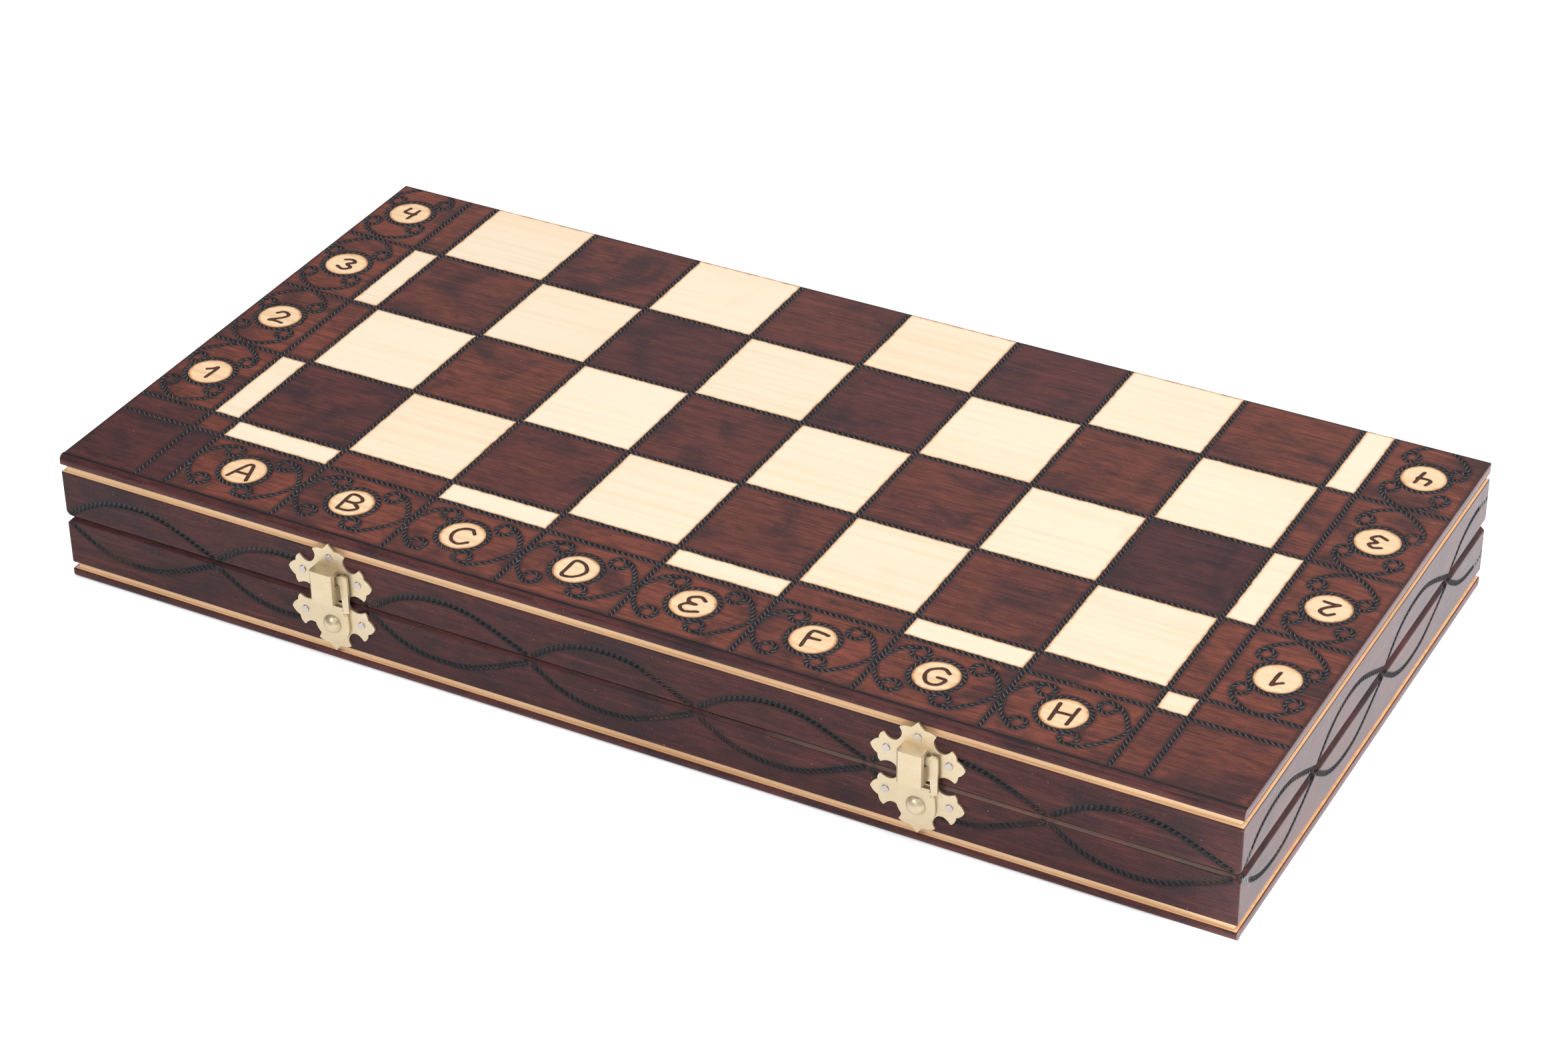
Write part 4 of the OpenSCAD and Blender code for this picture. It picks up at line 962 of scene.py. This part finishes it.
def felt_material(name, base, dark, light):
    m = Mat(name)
    fuzz = m.noise(m.coords((1900, 1900, 1900)), 1, 4, .75, 1.2)
    knots = m.noise(m.coords((420, 420, 420)), 1, 3, .6, .6)
    nap = m.noise(m.coords((26, 26, 26)), 1, 3, .5)
    colour = m.mix(m.smooth(fuzz, .38, .62), dark, base)
    colour = m.mix(m.smooth(knots, .52, .75, 0, .45), colour, light)
    colour = m.mix(m.smooth(nap, .4, .7, 0, .3), colour, dark)
    normal = m.bump(m.math("ADD", fuzz, m.math("MULTIPLY", knots, .7)), .0003, .8)
    m.set(Base_Color=colour, Normal=normal, Roughness=.95)
    m.set(Sheen_Weight=.5, Sheen_Roughness=.45, Sheen_Tint=(.55, .8, .6), Specular_IOR_Level=.2)
    return m.m


# in each set of strand colours the first is the gap, and the second and third are a painted highlight on the
# strands' crests
pressed = ((.014, .0115, .013), (.05, .044, .05), (.12, .112, .125))
shiny = ((.006, .005, .0055), (.01, .0088, .0115), (.04, .035, .044))
board_wood = stained_wood("board_wood", 0, ((.06, .019, .023), (.235, .06, .033)), pressed, .1, .1)
rail_x = stained_wood("rail_wood_x", 0, ((.055, .0155, .018), (.125, .03, .02)), shiny, .25, -.14)
rail_y = stained_wood("rail_wood_y", 1, ((.055, .0155, .018), (.125, .03, .02)), shiny, .4, .45)
bare_wood = turned_wood("bare_rack_wood", (.8, .56, .32), (.66, .42, .21), (.4, .22, .1), along=0, gloss=.55)
white_wood = turned_wood("boxwood", (.72, .47, .22), (.6, .35, .14), (.36, .18, .06))
black_wood = turned_wood("dark_stained_wood", (.05, .017, .01), (.022, .009, .007), (.006, .003, .003))
brass = metal("brass_plate", (.6, .485, .32), (.64, .53, .375), (.44, .31, .15), .32, metallic=.72)
steel = metal("zinc_plated_steel", (.47, .43, .41), (.53, .48, .46), (.3, .27, .25), .3)
felt_green = felt_material("felt_green", (.022, .11, .05), (.009, .05, .023), (.06, .2, .1))


# ---------------------------------------------------------------- pieces

piece("upper_board", panel_mesh(True), "lid", "playing_panel", board_wood, "lid_panel")
piece("lower_board", panel_mesh(False), "base", "playing_panel", board_wood, "base_panel")
for half in ("base", "lid"):
    for which in ("front", "back", "left", "right"):
        name = f"{half}_{which}_rail"
        me = rail_mesh(which, name + "_wood", half == "lid")
        piece(name + "_wood", me, half, "rail_wood", rail_x if which in ("front", "back") else rail_y, name)


# ---------------------------------------------------------------- carried-over CAD nodes

def dress(node, material, bevel=0.0, segments=2):
    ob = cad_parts[node]
    ob.data.materials.clear()
    ob.data.materials.append(material)
    if bevel:
        mod = ob.modifiers.new("edge", "BEVEL")
        mod.width, mod.segments, mod.limit_method, mod.angle_limit = bevel * MM, segments, "ANGLE", .5
        mod.harden_normals = True


for side in ("left", "right"):
    dress(f"{side}_catch_plate", brass, .2)
    dress(f"{side}_lever_plate", brass, .12)
    dress(f"{side}_latch_lever", brass, .15)
    dress(f"{side}_latch_rivet", brass)
    dress(f"{side}_hinge_lower_leaf", brass, .1)
    dress(f"{side}_hinge_upper_leaf", brass, .1)
    dress(f"{side}_hinge_pin", steel, .2)
dress("catch_plate_nails", steel)
dress("lever_plate_nails", steel)
dress("hinge_screws_lower", brass)
dress("hinge_screws_upper", brass)
for half in ("base", "lid"):
    for part in ("rack_near", "rack_far", "rack_pawns"):
        dress(f"{half}_{part}", bare_wood, .4)


# ---------------------------------------------------------------- inside the box

for half in ("base", "lid"):
    lining = piece(f"{half}_felt_lining", lining_mesh(f"{half}_felt_lining", half == "lid"), half, "felt",
                   felt_green, f"{half}_felt")
for colour, wood, half in (("white", white_wood, "base"), ("black", black_wood, "lid")):
    black = colour == "black"
    for i, (part, make, d) in enumerate(OFFICERS):
        node = f"{colour}_{part}"
        me = officer_mesh(node + "_turned", make, d, i, black)
        piece(node + "_turned", me, half, colour + "_piece", wood, node)
    piece(f"{colour}_pawns_turned", pawns_mesh(f"{colour}_pawns_turned", black), half, colour + "_piece", wood,
          f"{colour}_pawns")
    piece(f"{colour}_felt_pads", pads_mesh(f"{colour}_felt_pads", black), half, "felt", felt_green,
          f"{colour}_base_pads")


# ---------------------------------------------------------------- floor, light, camera

floor_me = bpy.data.meshes.new("floor")
floor_me.from_pydata([(-6, -6, 0), (6, -6, 0), (6, 6, 0), (-6, 6, 0)], [], [(0, 1, 2, 3)])
floor = bpy.data.objects.new("floor", floor_me)
bpy.context.collection.objects.link(floor)
fm = Mat("pale_table")
fm.set(Base_Color=(.88, .88, .88), Roughness=.7, Specular_IOR_Level=.1)
# painted light: the floor glows, faintly everywhere and brightly in a strip beside the box's right side, which
# that side reflects
position = fm.node("ShaderNodeSeparateXYZ", None, Vector=fm.coords()).outputs[0]
beside = fm.math("MULTIPLY", fm.smooth(position, .205, .25), fm.smooth(position, .75, .4))
fm.set(Emission_Color=(.94, .96, 1, 1), Emission_Strength=fm.math("MULTIPLY_ADD", beside, 2.0, .42))
floor_me.materials.append(fm.m)


def area(name, place, target, size, power):
    data = bpy.data.lights.new(name, "AREA")
    data.shape, data.energy = "RECTANGLE", power
    data.size, data.size_y = size
    ob = bpy.data.objects.new(name, data)
    bpy.context.collection.objects.link(ob)
    ob.location = place
    ob.rotation_euler = (Vector(target) - Vector(place)).to_track_quat("-Z", "Y").to_euler()


area("top_softbox", (.55, .1, 1.9), (0, 0, 0), (1.9, 1.9), 34.5)
area("front_fill", (.9, -2.0, 1.0), (0, 0, 0), (1.4, 1.4), 7.5)
area("near_softbox", (-.26, -1.04, 1.15), (.15, -.1, .03), (.4, .4), 8)
area("back_card", (.2, 2.4, 1.5), (0, 0, 0), (5.0, 2.4), 28)
area("right_softbox", (2.0, .3, 1.1), (0, 0, 0), (1.2, 1.2), 9)
world = bpy.data.worlds.new("studio")
bpy.context.scene.world = world
world.use_nodes = True
world.node_tree.nodes["Background"].inputs[0].default_value = (.9, .95, 1, 1)
world.node_tree.nodes["Background"].inputs[1].default_value = .25
bpy.context.scene.view_settings.view_transform = "Standard"

cam = bpy.data.cameras.new("camera")
cam.lens, cam.sensor_width = 88.73, 36.0
cam_ob = bpy.data.objects.new("camera", cam)
bpy.context.collection.objects.link(cam_ob)
# set to the board's own grid in the photograph; the eye is measured in squares
cam_ob.location = Vector((12.1945 * SQ, -22.4276 * SQ, HEIGHT + 16.0831 * SQ)) * MM
cam_ob.rotation_euler = [math.radians(turn) for turn in (56.844, .508, 28.008)]
bpy.context.scene.camera = cam_ob
